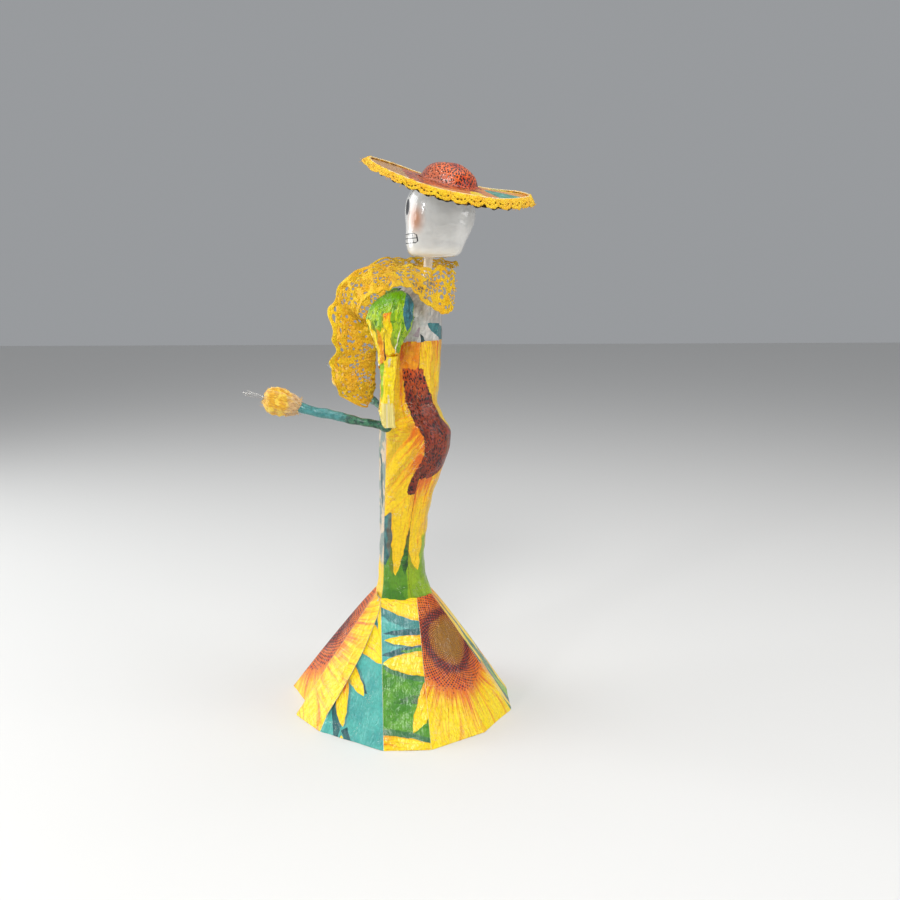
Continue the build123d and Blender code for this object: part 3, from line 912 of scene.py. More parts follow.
def make_skirt():
    """The ten gores; the front one's print runs on over the next one and its free flap."""
    front_width = None
    for number, (name, corners) in enumerate(GORE_CORNERS.items()):
        origin = 0 if name == "front" else None
        grid, printed = gore_grid(corners, origin)
        if name == "front":
            front_width = printed[:, -1, 0].copy()
        if name == "front_left":
            printed[..., 0] += (front_width - printed[:, 0, 0])[:, None]
        flap_start = printed[:, -1, 0].copy()
        paint = paper_print("print_skirt_" + name, *SKIRT_PRINTS[name])
        shaped = buckled(grid, printed, 20 + number, 0.28)
        piece = card("skirt_card_" + name, shaped, printed, GORE_CARD, [paint, EDGE_CARD], (0, 0, 40))
        ride_as(piece, "figure", "printed_card", "skirt_gore_" + name)
        if name == "front_left":
            make_flap(paint, flap_start)


def make_flap(paint, start):
    """The front gore's free edge: folded over the next gore down to a loose tip."""
    grid, printed = gore_grid((2, 3), 2, 60)
    rows = np.searchsorted(printed[:, 0, 1], FLAP_REACH[0][-1])
    shares = np.linspace(0, 1, 18)
    outer = np.zeros((rows - 2, len(shares), 3))
    paper = np.zeros_like(outer)
    for i, row in enumerate(range(2, rows)):
        slant = printed[row, 0, 1]
        reach = min(spline(*FLAP_REACH, [slant])[0], printed[row, -1, 0] - 0.3)
        for c, share in enumerate(shares):
            away = reach * share
            outer[i, c] = [np.interp(away, printed[row, :, 0], grid[row, :, k]) for k in range(3)]
            paper[i, c] = (start[row] + away, slant, min(1.0, reach - away) + 0.12)
    normals = outward_normals(outer)
    lift = 0.55 + 0.75 * np.linspace(0, 1, rows - 2)[:, None] * shares[None, :] + 0.25 * shares[None, :]
    outer += normals * lift[..., None]
    piece = card("skirt_flap", outer, paper, 0.5, [paint, EDGE_CARD], (0, 0, 40))
    ride_as(piece, "figure", "printed_card")


def make_ledge(paint):
    """Paper that closes the skirt's top round the dress."""
    ring = skirt_outline([79.0])[0]
    middle = ring.mean(axis=0)
    points = [
        (*(middle + (corner - middle) * reach), z)
        for reach, z in ((0.975, 78.7), (0.975, 78.1), (0.62, 78.1), (0.62, 78.7))
        for corner in ring
    ]
    faces = loop_faces(4, len(ring), flip=True)
    piece = make_mesh("skirt_ledge", points, faces, paint, [(x, y, 1.0) for x, y, _ in points])
    ride_as(piece, "figure", "printed_card")


make_skirt()
make_ledge(EDGE_CARD)

# Dress tube and yoke


def body_outline(front, back, half_width):
    """Ten corners round the body, from the middle of the front towards the left hand."""
    depth = back - front
    side = [
        (0.80 * half_width, front + 0.10 * depth),
        (half_width, front + 0.38 * depth),
        (0.96 * half_width, front + 0.64 * depth),
        (0.58 * half_width, front + 0.93 * depth),
    ]
    return np.array([(0, front), *side, (0, back), *[(-x, y) for x, y in reversed(side)]], float)


STRIPS = {"front": (9, 0, 1), "left": (1, 2, 3), "back": (3, 4, 5, 6, 7), "right": (7, 8, 9)}
STRIP_ZERO = {"front": 1, "left": 1, "back": 2, "right": 1}


def strip_grid(table, corners, zero, heights, per_side=16, smooth=True):
    """A long strip of the dress: its outer face, and across, height and distance to the seam on its paper."""
    sizes = table_at(table, heights)
    shares = np.linspace(0, 1, per_side * (len(corners) - 1) + 1)
    grid = np.zeros((len(heights), len(shares), 3))
    printed = np.zeros_like(grid)
    for r, (height, size) in enumerate(zip(heights, sizes)):
        outline = body_outline(*size)
        if smooth:
            ring = np.array([outline[c - 10] for c in (corners[0] - 1, *corners, (corners[-1] + 1) % 10)])
            inner = (shares * (len(corners) - 1) + 1) / (len(ring) - 1)
            line = through(ring, inner)
        else:
            keep = np.array([outline[c] for c in corners])
            spots = shares * (len(corners) - 1)
            line = np.stack([np.interp(spots, range(len(corners)), keep[:, k]) for k in range(2)], axis=1)
        along = np.concatenate([[0], np.cumsum(np.linalg.norm(np.diff(line, axis=0), axis=1))])
        grid[r, :, :2], grid[r, :, 2] = line, height
        printed[r, :, 0] = along - along[zero * per_side]
        printed[r, :, 1] = height
        printed[r, :, 2] = np.minimum(along, along[-1] - along)
    return grid, printed


def pale_front(flat, x, y):
    pale = mix(noise(flat, 0.07, 2.0).ramp(0.46, 0.54), rgb(0.74, 0.68, 0.52), rgb(0.25, 0.38, 0.36))
    return mix((y + jitter(flat, 0.08, 12)).ramp(106, 100), pale, YELLOW)


def petals_to_leaves(green_below, leaf, lime_from):
    """Yellow streaks down the dress, then green towards the skirt, and lime past a line down it."""

    def ground(flat, x, y):
        streaks = petal_colour((y * -0.02 + 4.6), x * 0.07, 5.0)
        low = mix(noise(flat, 0.07, 2.0).ramp(0.42, 0.58), *leaf)
        low = mix((x + jitter(flat, 0.08, 4)).ramp(lime_from - 0.6, lime_from + 0.6), low, LIME)
        return mix((y + jitter(flat, 0.05, 14)).ramp(green_below, green_below - 6), streaks, low)

    return ground


def mirrored(features):
    """Petals and leaves on the other side's paper."""
    return [(kind, (-base[0], base[1]), (-tip[0], tip[1]), width) for kind, base, tip, width in features]


SIDE_PETALS = [
    (ORANGE_PAIR, (1.0, 226), (8.2, 253), 12),
    ("gold", (-10, 262), (-6, 204), 14),
    ("gold", (13, 198), (-18, 191), 17),
    ("gold", (14, 192), (-17, 155), 19),
    ("gold", (14, 176), (-15, 133), 16),
    ((DARK_TEAL, rgb(0.05, 0.26, 0.27)), (-12, 138), (-8, 102), 15),
    ((DARK_GREEN, GREEN), (4, 130), (6, 96), 8),
    ("gold", (13, 172), (16.6, 99), 19),
    ("gold", (5, 178), (-0.4, 95.5), 15),
]
BAND_LEFT = [(234, -1.0), (222, 0.9), (212, 3.2), (204, 5.7), (197, 8.0), (188, 11.6), (180, 12.0)]
BAND_LEFT += [(173.5, 10.4), (166.6, 7.0), (160, 5.0), (152, 4.4)]
BAND_RIGHT = [(234, -24.0), (225, -20.5), (216, -15.5), (205, -11.2), (196, -5.4), (188, -0.6), (176, -3.0)]
BAND_RIGHT += [(168, -10.0), (162, -20.0)]
BACK_PETALS = [
    ("gold", (-26, 262), (-15, 204), 17),
    ("gold", (-8, 262), (-5, 192), 17),
    ("gold", (13, 262), (10, 196), 22),
    ("gold", (-24, 164), (-14.2, 98), 17),
    ("gold", (-4, 178), (-2, 110), 16),
    ("gold", (18, 172), (12, 102), 15),
    ((DARK_TEAL, GREEN), (5, 82), (3, 108), 7),
]
EVERYWHERE = [(152, 40), (234, 40)]
FROM_THE_EDGE = [(162, -40), (234, -40)]
DRESS_PRINTS = {
    "front": (pale_front, [("gold", (-9, 262), (-5, 196), 12), (TEAL_PAIR, (6, 176), (10, 140), 9)]),
    "left": (
        petals_to_leaves(134, GREEN_PAIR, 7.5),
        [*SIDE_PETALS[:2], *SIDE_PETALS[5:], *SIDE_PETALS[2:5], ("band", BAND_LEFT, EVERYWHERE, 152, 234)],
    ),
    "back": (
        petals_to_leaves(124, (LIME, rgb(0.20, 0.42, 0.0)), 60),
        [
            *BACK_PETALS,
            ("band", FROM_THE_EDGE, BAND_RIGHT, 162, 234),
            ((BRICK, GOLD_BROWN), (-13, 177), (-11.5, 197), 7),
        ],
    ),
    "right": (petals_to_leaves(134, GREEN_PAIR, 60), mirrored(SIDE_PETALS)),
}
AMBER = rgb(0.98, 0.86, 0.80)


# A distance to the next seam that is past every worn edge
NO_SEAM = 3.0


def wrinkled(grid, printed, seed, amount):
    """Pasted paper: shallow slack folds that fade at the seams, which are rounded over."""
    normals = outward_normals(grid)
    free = np.clip(printed[..., 2] / 3, 0, 1)
    slack = ripple(printed[..., 0] * 1.4, printed[..., 1] * 0.7, 15, seed) * amount
    crease = (1 - crumple(printed[..., 0], printed[..., 1] * 0.8, 22, seed + 5)) * -0.5 * amount
    rounded = -0.3 * np.exp(-printed[..., 2] / 0.4)
    return grid + normals * (free * (slack + crease) + rounded)[..., None]


def make_dress():
    """The four strips of the dress."""
    heights = np.linspace(DRESS[-1][0], DRESS[0][0], 210)
    for number, (name, corners) in enumerate(STRIPS.items()):
        grid, printed = strip_grid(DRESS, corners, STRIP_ZERO[name], heights, smooth=name != "front")
        paint = paper_print("print_dress_" + name, *DRESS_PRINTS[name], 1.5, AMBER, BROWN_LINE, 0.22)
        shaped = wrinkled(grid, printed, 60 + number, 0.30)
        piece = card("dress_paper_" + name, shaped, printed, 1.0, [paint, EDGE_CARD], (0, 3, 165))
        ride_as(piece, "figure", "printed_paper", "dress_strip_" + name)


make_dress()


def yoke_ground(flat, x, y):
    soft = noise(vector(x * 0.5, y * 0.2, 3.0), 0.5, 3.0).ramp(0.35, 0.65)
    return mix(soft, rgb(0.70, 0.68, 0.64), rgb(0.42, 0.41, 0.39))


YOKE_SIDE = [
    (PALE_PAIR, (2, 250), (8, 276), 12),
    (PALE_PAIR, (12, 248), (24, 274), 10),
    (PALE_PAIR, (44, 248), (36, 276), 12),
    ((rgb(0.34, 0.26, 0.30), rgb(0.44, 0.38, 0.40)), (35.0, 254), (36.5, 260), 3.6),
    ((rgb(0.02, 0.14, 0.16), rgb(0.05, 0.26, 0.28)), (66, 252.5), (41, 262), 9),
    ((SOOT, DARK_TEAL), (43, 248), (37.5, 255.5), 3.2),
    ((DARK_TEAL, TURQUOISE), (62, 271), (53, 269), 4),
]


YOKE_FOOT = 250.4
YOKE_TOP = 288.8


def make_yoke():
    """The closed shell of the shoulders: a band with a folded lower edge, then a domed top to the neck."""
    heights = np.linspace(YOKE_FOOT, YOKE[-1][0], 60)
    grid, printed = strip_grid(YOKE, tuple(range(10)) + (0,), 0, heights, per_side=10, smooth=False)
    grid, printed = grid[:, :-1], printed[:, :-1]
    girth = printed[:, -1:, 0] + 1.5
    printed[..., 0] = np.where(printed[..., 0] > girth / 2, printed[..., 0] - girth, printed[..., 0])
    printed[..., 2] = NO_SEAM
    slack = ripple(printed[..., 0], printed[..., 1], 17, 91) * 0.3 + 0.45
    grid = grid + outward_normals(grid, (0, 5), closed=True) * slack[..., None]
    rows, columns = grid.shape[:2]
    rings = [grid.reshape(-1, 3)]
    centre = np.array([0, 14.5, YOKE_TOP])
    cap_shares = [0.66, 0.36]
    top = grid[-1]
    for share in cap_shares:
        ring = centre + (top - centre) * share
        ring[:, 2] = YOKE_TOP + 0.6 * (1 - share)
        rings.append(ring)
    floor = grid[0] * np.array([0.93, 0.93, 1])
    points = np.concatenate(rings + [centre[None] + (0, 0, 0.8), floor, [[0, 5, YOKE_FOOT]]])
    paper = np.concatenate(
        [printed.reshape(-1, 3)] + [printed[-1] + (0, 4 * (i + 1), 0) for i in range(len(cap_shares))]
        + [[[0, 300, NO_SEAM]], printed[0], [[0, 250, NO_SEAM]]]
    )  # fmt: skip
    total = rows + len(cap_shares)
    apex, under = total * columns, total * columns + 1
    faces = grid_faces(total, columns, closed=True) + cap(apex, apex - columns, columns)
    faces += band(under, 0, columns) + cap(under + columns, under, columns, flip=True)
    paint = paper_print("print_yoke", yoke_ground, YOKE_SIDE + mirrored(YOKE_SIDE), wrinkle=1.2)
    piece = make_mesh("yoke_paper", points, faces, paint, paper)
    ride_as(piece, "figure", "printed_paper", "bodice_yoke")


make_yoke()

# Sleeves and arms

SLEEVE = [
    # Height, centre x, centre y, half width, half depth
    (236.5, 33.5, -9.9, 5.0, 5.7),
    (241, 33.5, -9.8, 5.5, 6.2),
    (246, 33.4, -9.6, 6.3, 7.0),
    (252, 33.3, -9.4, 8.4, 9.2),
    (259, 33.3, -8.4, 10.8, 12.8),
    (266, 33.3, -8.2, 11.8, 14.7),
    (273, 32.8, -6.8, 11.4, 13.6),
    (278, 31.4, -5.4, 9.8, 10.4),
    (281, 30.2, -4.2, 7.0, 7.0),
    (283, 29.6, -3.6, 3.0, 3.0),
]


def sleeve_ground(flat, x, y):
    streak = noise(vector(x * 0.9, y * 0.25, 2.0), 0.5, 3.0)
    lime = mix(streak.ramp(0.36, 0.62), rgb(0.20, 0.44, 0.0), rgb(0.44, 0.62, 0.0))
    vein = abs(noise(vector(x * 0.5, y * 0.22, 4.0), 0.5, 2.0) - 0.5).ramp(0.030, 0.008)
    lime = mix(vein * 0.7, lime, rgb(0.03, 0.16, 0.0))
    return mix((y + x * -0.25 + (streak - 0.5) * 8).ramp(272, 279), lime, rgb(0.14, 0.40, 0.0))


SLEEVE_FEATURES = [
    ((DARK_TEAL, rgb(0.03, 0.20, 0.24)), (14, 284), (11, 259), 13),
    (TEAL_PAIR, (22, 268), (14, 250), 6),
    ("gold", (-7, 228), (-17, 266), 16),
    ("gold", (5, 228), (-5, 262), 11),
    (ORANGE_PAIR, (0, 232), (-8, 262), 4),
    ("gold", (-2.5, 270), (0.5, 254), 4.6),
    # Two thin brown lines along the sleeve's folds: painted shade in their creases
    ((BROWN_LINE, MAROON), (-1.5, 238), (-3.5, 260), 1.1),
    ((BROWN_LINE, GREEN), (-8, 238), (-13, 266), 0.9),
    # Two thin near-white lines along the sleeve's folds: painted highlights where the varnish catches the light
    ((rgb(0.9, 0.9, 0.8), CREAM), (-6.5, 236), (-16, 262), 0.9),
    ((rgb(0.9, 0.9, 0.8), CREAM), (4, 238), (6.5, 264), 0.9),
]


def make_sleeve(side):
    """A puff of crushed paper, gathered to the arm below and pressed flat against the body."""
    sign = SIDES[side]
    heights = np.linspace(SLEEVE[0][0], SLEEVE[-1][0], 124)
    sizes = table_at(SLEEVE, heights)
    columns = 150
    turn = around(columns)
    grid = np.zeros((len(heights), columns, 3))
    paper = np.zeros_like(grid)
    for r, (height, (cx, cy, half_width, half_depth)) in enumerate(zip(heights, sizes)):
        size = (half_width + half_depth) / 2
        rise = (height - heights[0]) / (heights[-1] - heights[0])
        gather = math.exp(-rise * 4.0)
        lean_in = turn + 0.12 * math.sin(6 * rise)
        pleats = np.abs(np.sin(lean_in * 5.5 + 0.8 * np.sin(turn * 2))) ** 0.7
        crush = crumple(turn * 11, np.full(columns, height), 12, 31)
        top = math.sin(math.pi * min(rise, 1.0)) ** 0.5
        away = 1 + gather * 0.16 * (pleats - 0.5) + top * (0.15 * (crush - 0.62))
        across = turn * size
        grid[r, :, 0] = cx + half_width * np.cos(turn) * away
        grid[r, :, 1] = cy + half_depth * np.sin(turn) * away
        cut = (3.5 + 5.0 * np.sin(turn + 0.5) + 0.7 * np.sin(4 * turn)) * max(0.0, 1 - rise * 4) ** 1.5
        grid[r, :, 2] = height + cut + 0.5 * ripple(turn * 9, np.full(columns, height), 9, 33) * top
        paper[r, :, 0] = np.where(across > math.pi * size, across - TAU * size, across)
        paper[r, :, 1] = height
    paper[..., 2] = NO_SEAM
    grid[..., 0] = np.maximum(grid[..., 0], SLEEVE_INNER_X)
    points = np.concatenate([grid.reshape(-1, 3), [grid[0].mean(0), grid[-1].mean(0)]])
    paper = np.concatenate([paper.reshape(-1, 3), [(0, 236, NO_SEAM), (0, 284, NO_SEAM)]])
    points, faces = handed(points, capped_faces(len(heights), columns), sign)
    paint = paper_print("print_sleeve_" + side, sleeve_ground, SLEEVE_FEATURES, wrinkle=1.8)
    piece = make_mesh("sleeve_paper_" + side, points, faces, paint, paper, sharp=50)
    ride_as(piece, "figure", "green_paper", "sleeve_" + side)


UPPER_ARM = [
    # Height, centre y, radius
    (198.5, -11.6, 6.6),
    (201, -11.4, 5.9),
    (206, -11.0, 5.3),
    (214, -10.6, 5.0),
    (228, -10.0, 5.2),
    (243, -9.4, 6.1),
]
ARM_RIM, ARM_TOP = UPPER_ARM[0][0], UPPER_ARM[-1][0]
ARM_HOLLOW = 214.0
FRONT_RIM_RISE = 12.8


def arm_ground(flat, x, y):
    streaks = petal_colour((y * -0.05 + 12.9), x * 0.16, 4.0)
    lip = mix(y.ramp(214, 203), streaks, rgb(0.86, 0.72, 0.22))
    lime = (abs(x + 5.5) + jitter(flat, 0.1, 4)).ramp(2.2, 1.4)
    lip = mix(lime * y.ramp(214, 220), lip, LIME)
    # A pale cream line down the outer side of the upper arm: a painted highlight along the paper's ridge
    painted_highlight = abs(x - 0.6 + jitter(flat, 0.12, 5)).ramp(0.75, 0.35)
    return mix(painted_highlight * noise(vector(x * 0.0, y * 0.3, 1.0), 0.5, 2.0).ramp(0.42, 0.55), lip, CREAM)


def make_upper_arm(side):
    """A crushed paper tube, open at the elbow, with its rim cut higher on the side where the forearm leaves."""
    sign, yaw = SIDES[side], math.radians(YAWS[side])
    columns, rows = 72, 90
    turn = around(columns)
    heading = np.array([sign * math.sin(yaw), -math.cos(yaw)])
    facing = np.cos(turn) * heading[0] * sign + np.sin(turn) * heading[1]
    rim = ARM_RIM + FRONT_RIM_RISE * np.clip(facing, 0, 1) ** 2 + 0.5 * ripple(turn * 5, turn * 0, 8, 17)
    shares = np.linspace(0, 1, rows) ** 1.15
    grid = np.zeros((rows, columns, 3))
    paper = np.zeros_like(grid)
    for c in range(columns):
        heights = rim[c] + (ARM_TOP - rim[c]) * shares
        table = table_at(UPPER_ARM, np.clip(heights, ARM_RIM, ARM_TOP))
        flare = 1 + 0.16 * np.exp(-(heights - rim[c]) / 2.2)
        crush = crumple(np.full(rows, turn[c] * 5.2), heights * 0.55, 8, 41)
        radius = table[:, 1] * flare * (0.93 + 0.17 * (crush - 0.5))
        grid[:, c, 0] = ARM_X + radius * math.cos(turn[c]) * 0.97
        grid[:, c, 1] = table[:, 0] + radius * math.sin(turn[c])
        grid[:, c, 2] = heights
        paper[:, c, 0] = (turn[c] if turn[c] < math.pi else turn[c] - TAU) * 5.3
        paper[:, c, 1] = heights
    paper[..., 2] = NO_SEAM
    lining = []
    for share, shrink in ((0.0, 0.90), (0.35, 0.80), (0.7, 0.78), (1.0, 0.74)):
        ring = grid[0].copy()
        middle = np.array([ARM_X, -11.2])
        ring[:, :2] = middle + (ring[:, :2] - middle) * shrink
        ring[:, 2] = rim + (ARM_HOLLOW - rim) * share
        lining.append(ring)
    top = grid[-1].mean(0)
    inside = lining[-1].mean(0)
    order = lining[::-1] + list(grid)
    points = np.concatenate([np.concatenate(order), [inside, top]])
    inner_paper = [paper[0] * (1, 0, 0) + (0, 200, NO_SEAM)] * len(lining)
    papers = np.concatenate([np.concatenate(inner_paper + list(paper)), [(0, 200, NO_SEAM), (0, ARM_TOP, NO_SEAM)]])
    points, faces = handed(points, capped_faces(len(order), columns), sign)
    paint = paper_print("print_upper_arm_" + side, arm_ground, [], wrinkle=1.8)
    piece = make_mesh("upper_arm_paper_" + side, points, faces, paint, papers, sharp=60)
    ride_as(piece, "figure", "green_paper", "upper_arm_" + side)


def elbow_frame(side):
    """The forearm's own directions: to its side, forward along it, and up, with the elbow as origin."""
    sign, yaw = SIDES[side], math.radians(YAWS[side])
    forward = np.array([sign * math.sin(yaw), -math.cos(yaw), 0])
    up = np.array([0.0, 0.0, 1.0])
    return np.array([sign * ELBOW[0], ELBOW[1], ELBOW[2]]), np.cross(forward, up), forward, up


def teal_paint():
    """Dark green near the elbow, turquoise towards the hand, wrapped and varnished."""
    material, tree, shader = new_material("forearm_paper", **VARNISH)
    point = printed_point(tree)
    x, y, _ = point.parts()
    flat = vector(x, y, 0.0)
    blotch = noise(flat, 0.35, 3.0, 0.6)
    near = mix(blotch.ramp(0.42, 0.6), rgb(0.012, 0.07, 0.05), rgb(0.06, 0.22, 0.12))
    near = mix(noise(flat, 0.5, 2.0).ramp(0.66, 0.74) * 0.8, near, rgb(0.45, 0.45, 0.08))
    far = mix(blotch.ramp(0.35, 0.65), rgb(0.045, 0.22, 0.22), rgb(0.09, 0.33, 0.33))
    colour = mix((y + (blotch - 0.5) * 10).ramp(22, 31), near, far)
    varnished(shader, colour, point, 1.2)
    return material


ELBOW_BALL = 3.9


def make_forearm(side, paint):
    """A tube of paper, crushed a little, with a ball at the elbow."""
    origin, _, forward, up = elbow_frame(side)
    shares = np.linspace(0, 1, 90)
    line = through([(y, z) for y, z, _ in FOREARM], shares)
    run = np.concatenate([[0], np.cumsum(np.linalg.norm(np.diff(line, axis=0), axis=1))])
    radii = spline([0, 12, 28, 44, 60.5], [r for _, _, r in FOREARM], run)
    radii = np.maximum(radii, ELBOW_BALL * np.sqrt(np.clip(1 - (run / 5.2) ** 2, 0, 1)))
    sag = 0.25 * np.sin(run * 0.21 + 1)
    sides = 40
    turn = around(sides)
    path = origin + forward * line[:, :1] + up * (line[:, 1:] + sag[:, None] * np.clip(run / 20, 0, 1)[:, None])
    # The elbow's back is closed by a rounded end behind the first ring
    bends = np.radians((78, 60, 38, 18))
    path = np.vstack([[origin - forward * (ELBOW_BALL * math.sin(a)) for a in bends], path])
    radii = np.concatenate([[ELBOW_BALL * math.cos(a) for a in bends], radii])
    run = np.concatenate([[-3.8, -3.4, -2.4, -1.2], run])
    points, faces = tube(path, radii, sides, roll=up)
    dents = 1 + 0.07 * ripple(run[:, None] * 0.9, turn[None, :] * 3, 9, 51) * np.clip(run[:, None] / 8, 0, 1)
    body = points[:-2].reshape(len(path), sides, 3)
    body = path[:, None] + (body - path[:, None]) * dents[..., None]
    points = np.concatenate([body.reshape(-1, 3), points[-2:]])
    paper = np.stack(np.broadcast_arrays(turn[None, :] * 3, run[:, None], NO_SEAM), axis=-1).reshape(-1, 3)
    paper = np.concatenate([paper, [(0, -4, NO_SEAM), (0, 61, NO_SEAM)]])
    piece = make_mesh("forearm_paper_" + side, points, faces, paint, paper, sharp=70)
    ride_as(piece, side + "_forearm", "teal_paper", "forearm_" + side)


def wrist_frame(side):
    """The wrist, and the directions across the forearm's end, along it and up from it."""
    origin, across, forward, up = elbow_frame(side)
    (y0, z0, _), (y1, z1, _) = FOREARM[-2:]
    along = unit(forward * (y1 - y0) + up * (z1 - z0))
    return origin + forward * y1 + up * z1, across, along, np.cross(across, along)


CUFF_SKIN = [(-4.6, 3.6), (-3.2, 5.2), (0, 6.7), (4, 8.0), (9, 8.8), (13.5, 8.2), (16.5, 6.2), (18.2, 3.2)]


def cloth_paint():
    """Bright frayed cloth: orange-yellow with paler tan folds near the wrist."""
    material, tree, shader = new_material("frayed_cloth", Roughness=0.85, Sheen_Weight=0.5, Sheen_Roughness=0.5)
    point = printed_point(tree)
    x, y, _ = point.parts()
    threads = noise(vector(x * 2.6, y * 0.35, 0.0), 0.8, 4.0, 0.65)
    colour = mix(threads.ramp(0.36, 0.62), rgb(0.62, 0.25, 0.005), rgb(0.95, 0.52, 0.01))
    colour = mix((threads * 0.5 + noise(point, 0.28, 2.0)).ramp(0.70, 0.86), colour, rgb(1.0, 0.68, 0.06))
    wrist = (y + jitter(point, 0.4, 9, 3.0)).ramp(5.0, 0.0)
    tan = mix(threads.ramp(0.4, 0.6), rgb(0.42, 0.22, 0.09), rgb(0.80, 0.55, 0.30))
    colour = mix(wrist * 0.85, colour, tan)
    set_input(shader, "Base Color", colour)
    bump(shader, threads + noise(point, 3.0, 3.0) * 0.4, 0.0008, 0.9)
    return material


def make_cuff(side, paint):
    """Cloth bunched into a bud round the wrist, with loose threads at both ends."""
    wrist, across, along, lift = wrist_frame(side)
    steps = np.linspace(0, 1, 56)
    skin = through(CUFF_SKIN, steps)
    columns = 120
    turn = around(columns)
    grid = np.zeros((len(steps), columns, 3))
    paper = np.zeros_like(grid)
    for r, (run, radius) in enumerate(skin):
        share = steps[r]
        twist = turn + 0.5 * math.sin(2.4 * share + 0.4)
        folds = np.abs(np.sin(twist * 3.5 + 0.9 * np.sin(twist * 2 + 3 * share))) ** 0.8
        fine = crumple(turn * 7, np.full(columns, run * 0.8), 6, 71)
        away = radius * (0.86 + 0.16 * folds + 0.16 * (fine - 0.5))
        shift = 0.6 * ripple(turn * 4, turn * 0 + run, 8, 73)
        spot = wrist + along * run
        grid[r] = spot + across * (away * np.cos(turn))[:, None] + lift * (away * np.sin(turn))[:, None] * 1.02
        grid[r] += along * shift[:, None]
        paper[r, :, 0], paper[r, :, 1] = turn * 8, run
    inner = []
    for run, radius in ((15.5, 2.4), (6.0, 2.2), (0.2, 2.2), (0.2, 3.3), (-3.6, 3.3)):
        ring = across * (radius * np.cos(turn))[:, None] + lift * (radius * np.sin(turn))[:, None]
        inner.append(wrist + along * run + ring)
    rings = np.concatenate([grid, np.array(inner)])
    papers = np.concatenate([paper, np.zeros((len(inner), columns, 3))])
    draw = np.random.default_rng(12 if side == "left" else 13)
    parts = [(rings.reshape(-1, 3), loop_faces(len(rings), columns))]
    for _ in range(46):
        start_run = draw.choice([-3.5, 0.5, 14.5, 17.0], p=[0.36, 0.14, 0.2, 0.3])
        angle = draw.uniform(0, TAU)
        radial = across * math.cos(angle) + lift * math.sin(angle)
        radius = np.interp(start_run, *zip(*CUFF_SKIN)) * 0.93
        heading = along * (-1 if start_run < 5 else 1)
        begin = wrist + along * start_run + radial * radius
        length = draw.uniform(1.2, 3.4)
        bend = unit(heading * draw.uniform(0.3, 1) + radial * draw.uniform(0.1, 0.9) + draw.normal(0, 0.35, 3))
        middle = begin + bend * length * 0.5
        end = middle + unit(bend + draw.normal(0, 0.6, 3)) * length * 0.5
        parts.append(tube(through([begin, middle, end], np.linspace(0, 1, 6)), [0.11] * 5 + [0.05], 5))
    points, faces = joined(parts)
    papers = papers.reshape(-1, 3)
    papers = np.concatenate([papers, np.tile([(0.0, 9.0, 0.0)], (len(points) - len(papers), 1))])
    piece = make_mesh("cuff_cloth_" + side, points, faces, paint, papers, sharp=80)
    ride_as(piece, side + "_forearm", "frayed_cloth", "cuff_" + side)


def make_fingers(side, paint):
    """Five fine wires, fanned, each with its tip bent over."""
    wrist, across, along, lift = wrist_frame(side)
    draw = np.random.default_rng(5 if side == "left" else 6)
    wires = []
    for i in range(5):
        fan = math.radians(7.0 * (i - 2)) + draw.normal(0, 0.03)
        tilt = draw.normal(0.08, 0.07)
        start = wrist + along * 0.3 + across * 0.7 * (i - 2)
        bend = wrist + along * 10 + across * 0.75 * (i - 2)
        way = unit(along * math.cos(fan) + across * math.sin(fan) + lift * tilt)
        reach = draw.uniform(17.5, 20.5)
        tip = bend + way * reach
        curl = unit(lift * draw.choice([-1, 1]) + across * draw.normal(0, 0.4) + way * 0.3)
        path = [start, (start + bend) / 2, bend, bend + way * reach * 0.5 + lift * draw.normal(0, 0.25), tip]
        path += [tip + way * 0.35 + curl * 0.5, tip + curl * 1.3]
        wires.append(tube(through(path, np.linspace(0, 1, 40)), 0.23, 8, roll=lift))
    points, faces = joined(wires)
    piece = make_mesh("finger_wire_" + side, points, faces, paint, sharp=60)
    ride_as(piece, side + "_forearm", "fine_wire", "finger_wires_" + side)


TEAL = teal_paint()
CLOTH = cloth_paint()
WIRE = plain_paint("fine_wire", rgb(0.50, 0.49, 0.47), rgb(0.30, 0.29, 0.28), 3.0, 0.3, 0.0001, 0.38, Metallic=1.0)
for side in SIDES:
    make_sleeve(side)
    make_upper_arm(side)
    make_forearm(side, TEAL)
    make_cuff(side, CLOTH)
    make_fingers(side, WIRE)

# Lace


def lace_paint(name, low, high, shade):
    """Stiffened cotton with a knitted texture: painted shade between the stitches and at the rounded threads' thin
    edges round each hole.
    """
    material, tree, shader = new_material(name, Roughness=0.6, Sheen_Weight=0.08, Sheen_Roughness=0.4)
    point = printed_point(tree)
    x, y, body = point.parts()
    flat = vector(x, y, 0.0)
    twist = noise(flat, 1.1, 3.0, 0.6)
    patch = noise(flat, 0.09, 2.0)
    stitch = add("TexVoronoi", vector(x, y * 1.4, 0.0), None, 0.95, voronoi_dimensions="2D")
    knit = Wire(stitch.outputs["Distance"])
    colour = mix((twist * 0.6 + patch * 0.8).ramp(0.50, 0.88), high, low)
    # Painted shade: darker between the stitches, and where each thread thins to a hole's edge
    colour = mix(knit.ramp(0.42, 0.72) * 0.55, colour, shade)
    colour = mix(body.ramp(0.75, 0.10) * 0.45, colour, shade)
    set_input(shader, "Base Color", colour)
    set_input(shader, "Roughness", twist * 0.3 + 0.42)
    bump(shader, knit * -1.0 + twist * 0.6, 0.0007, 0.95)
    return material


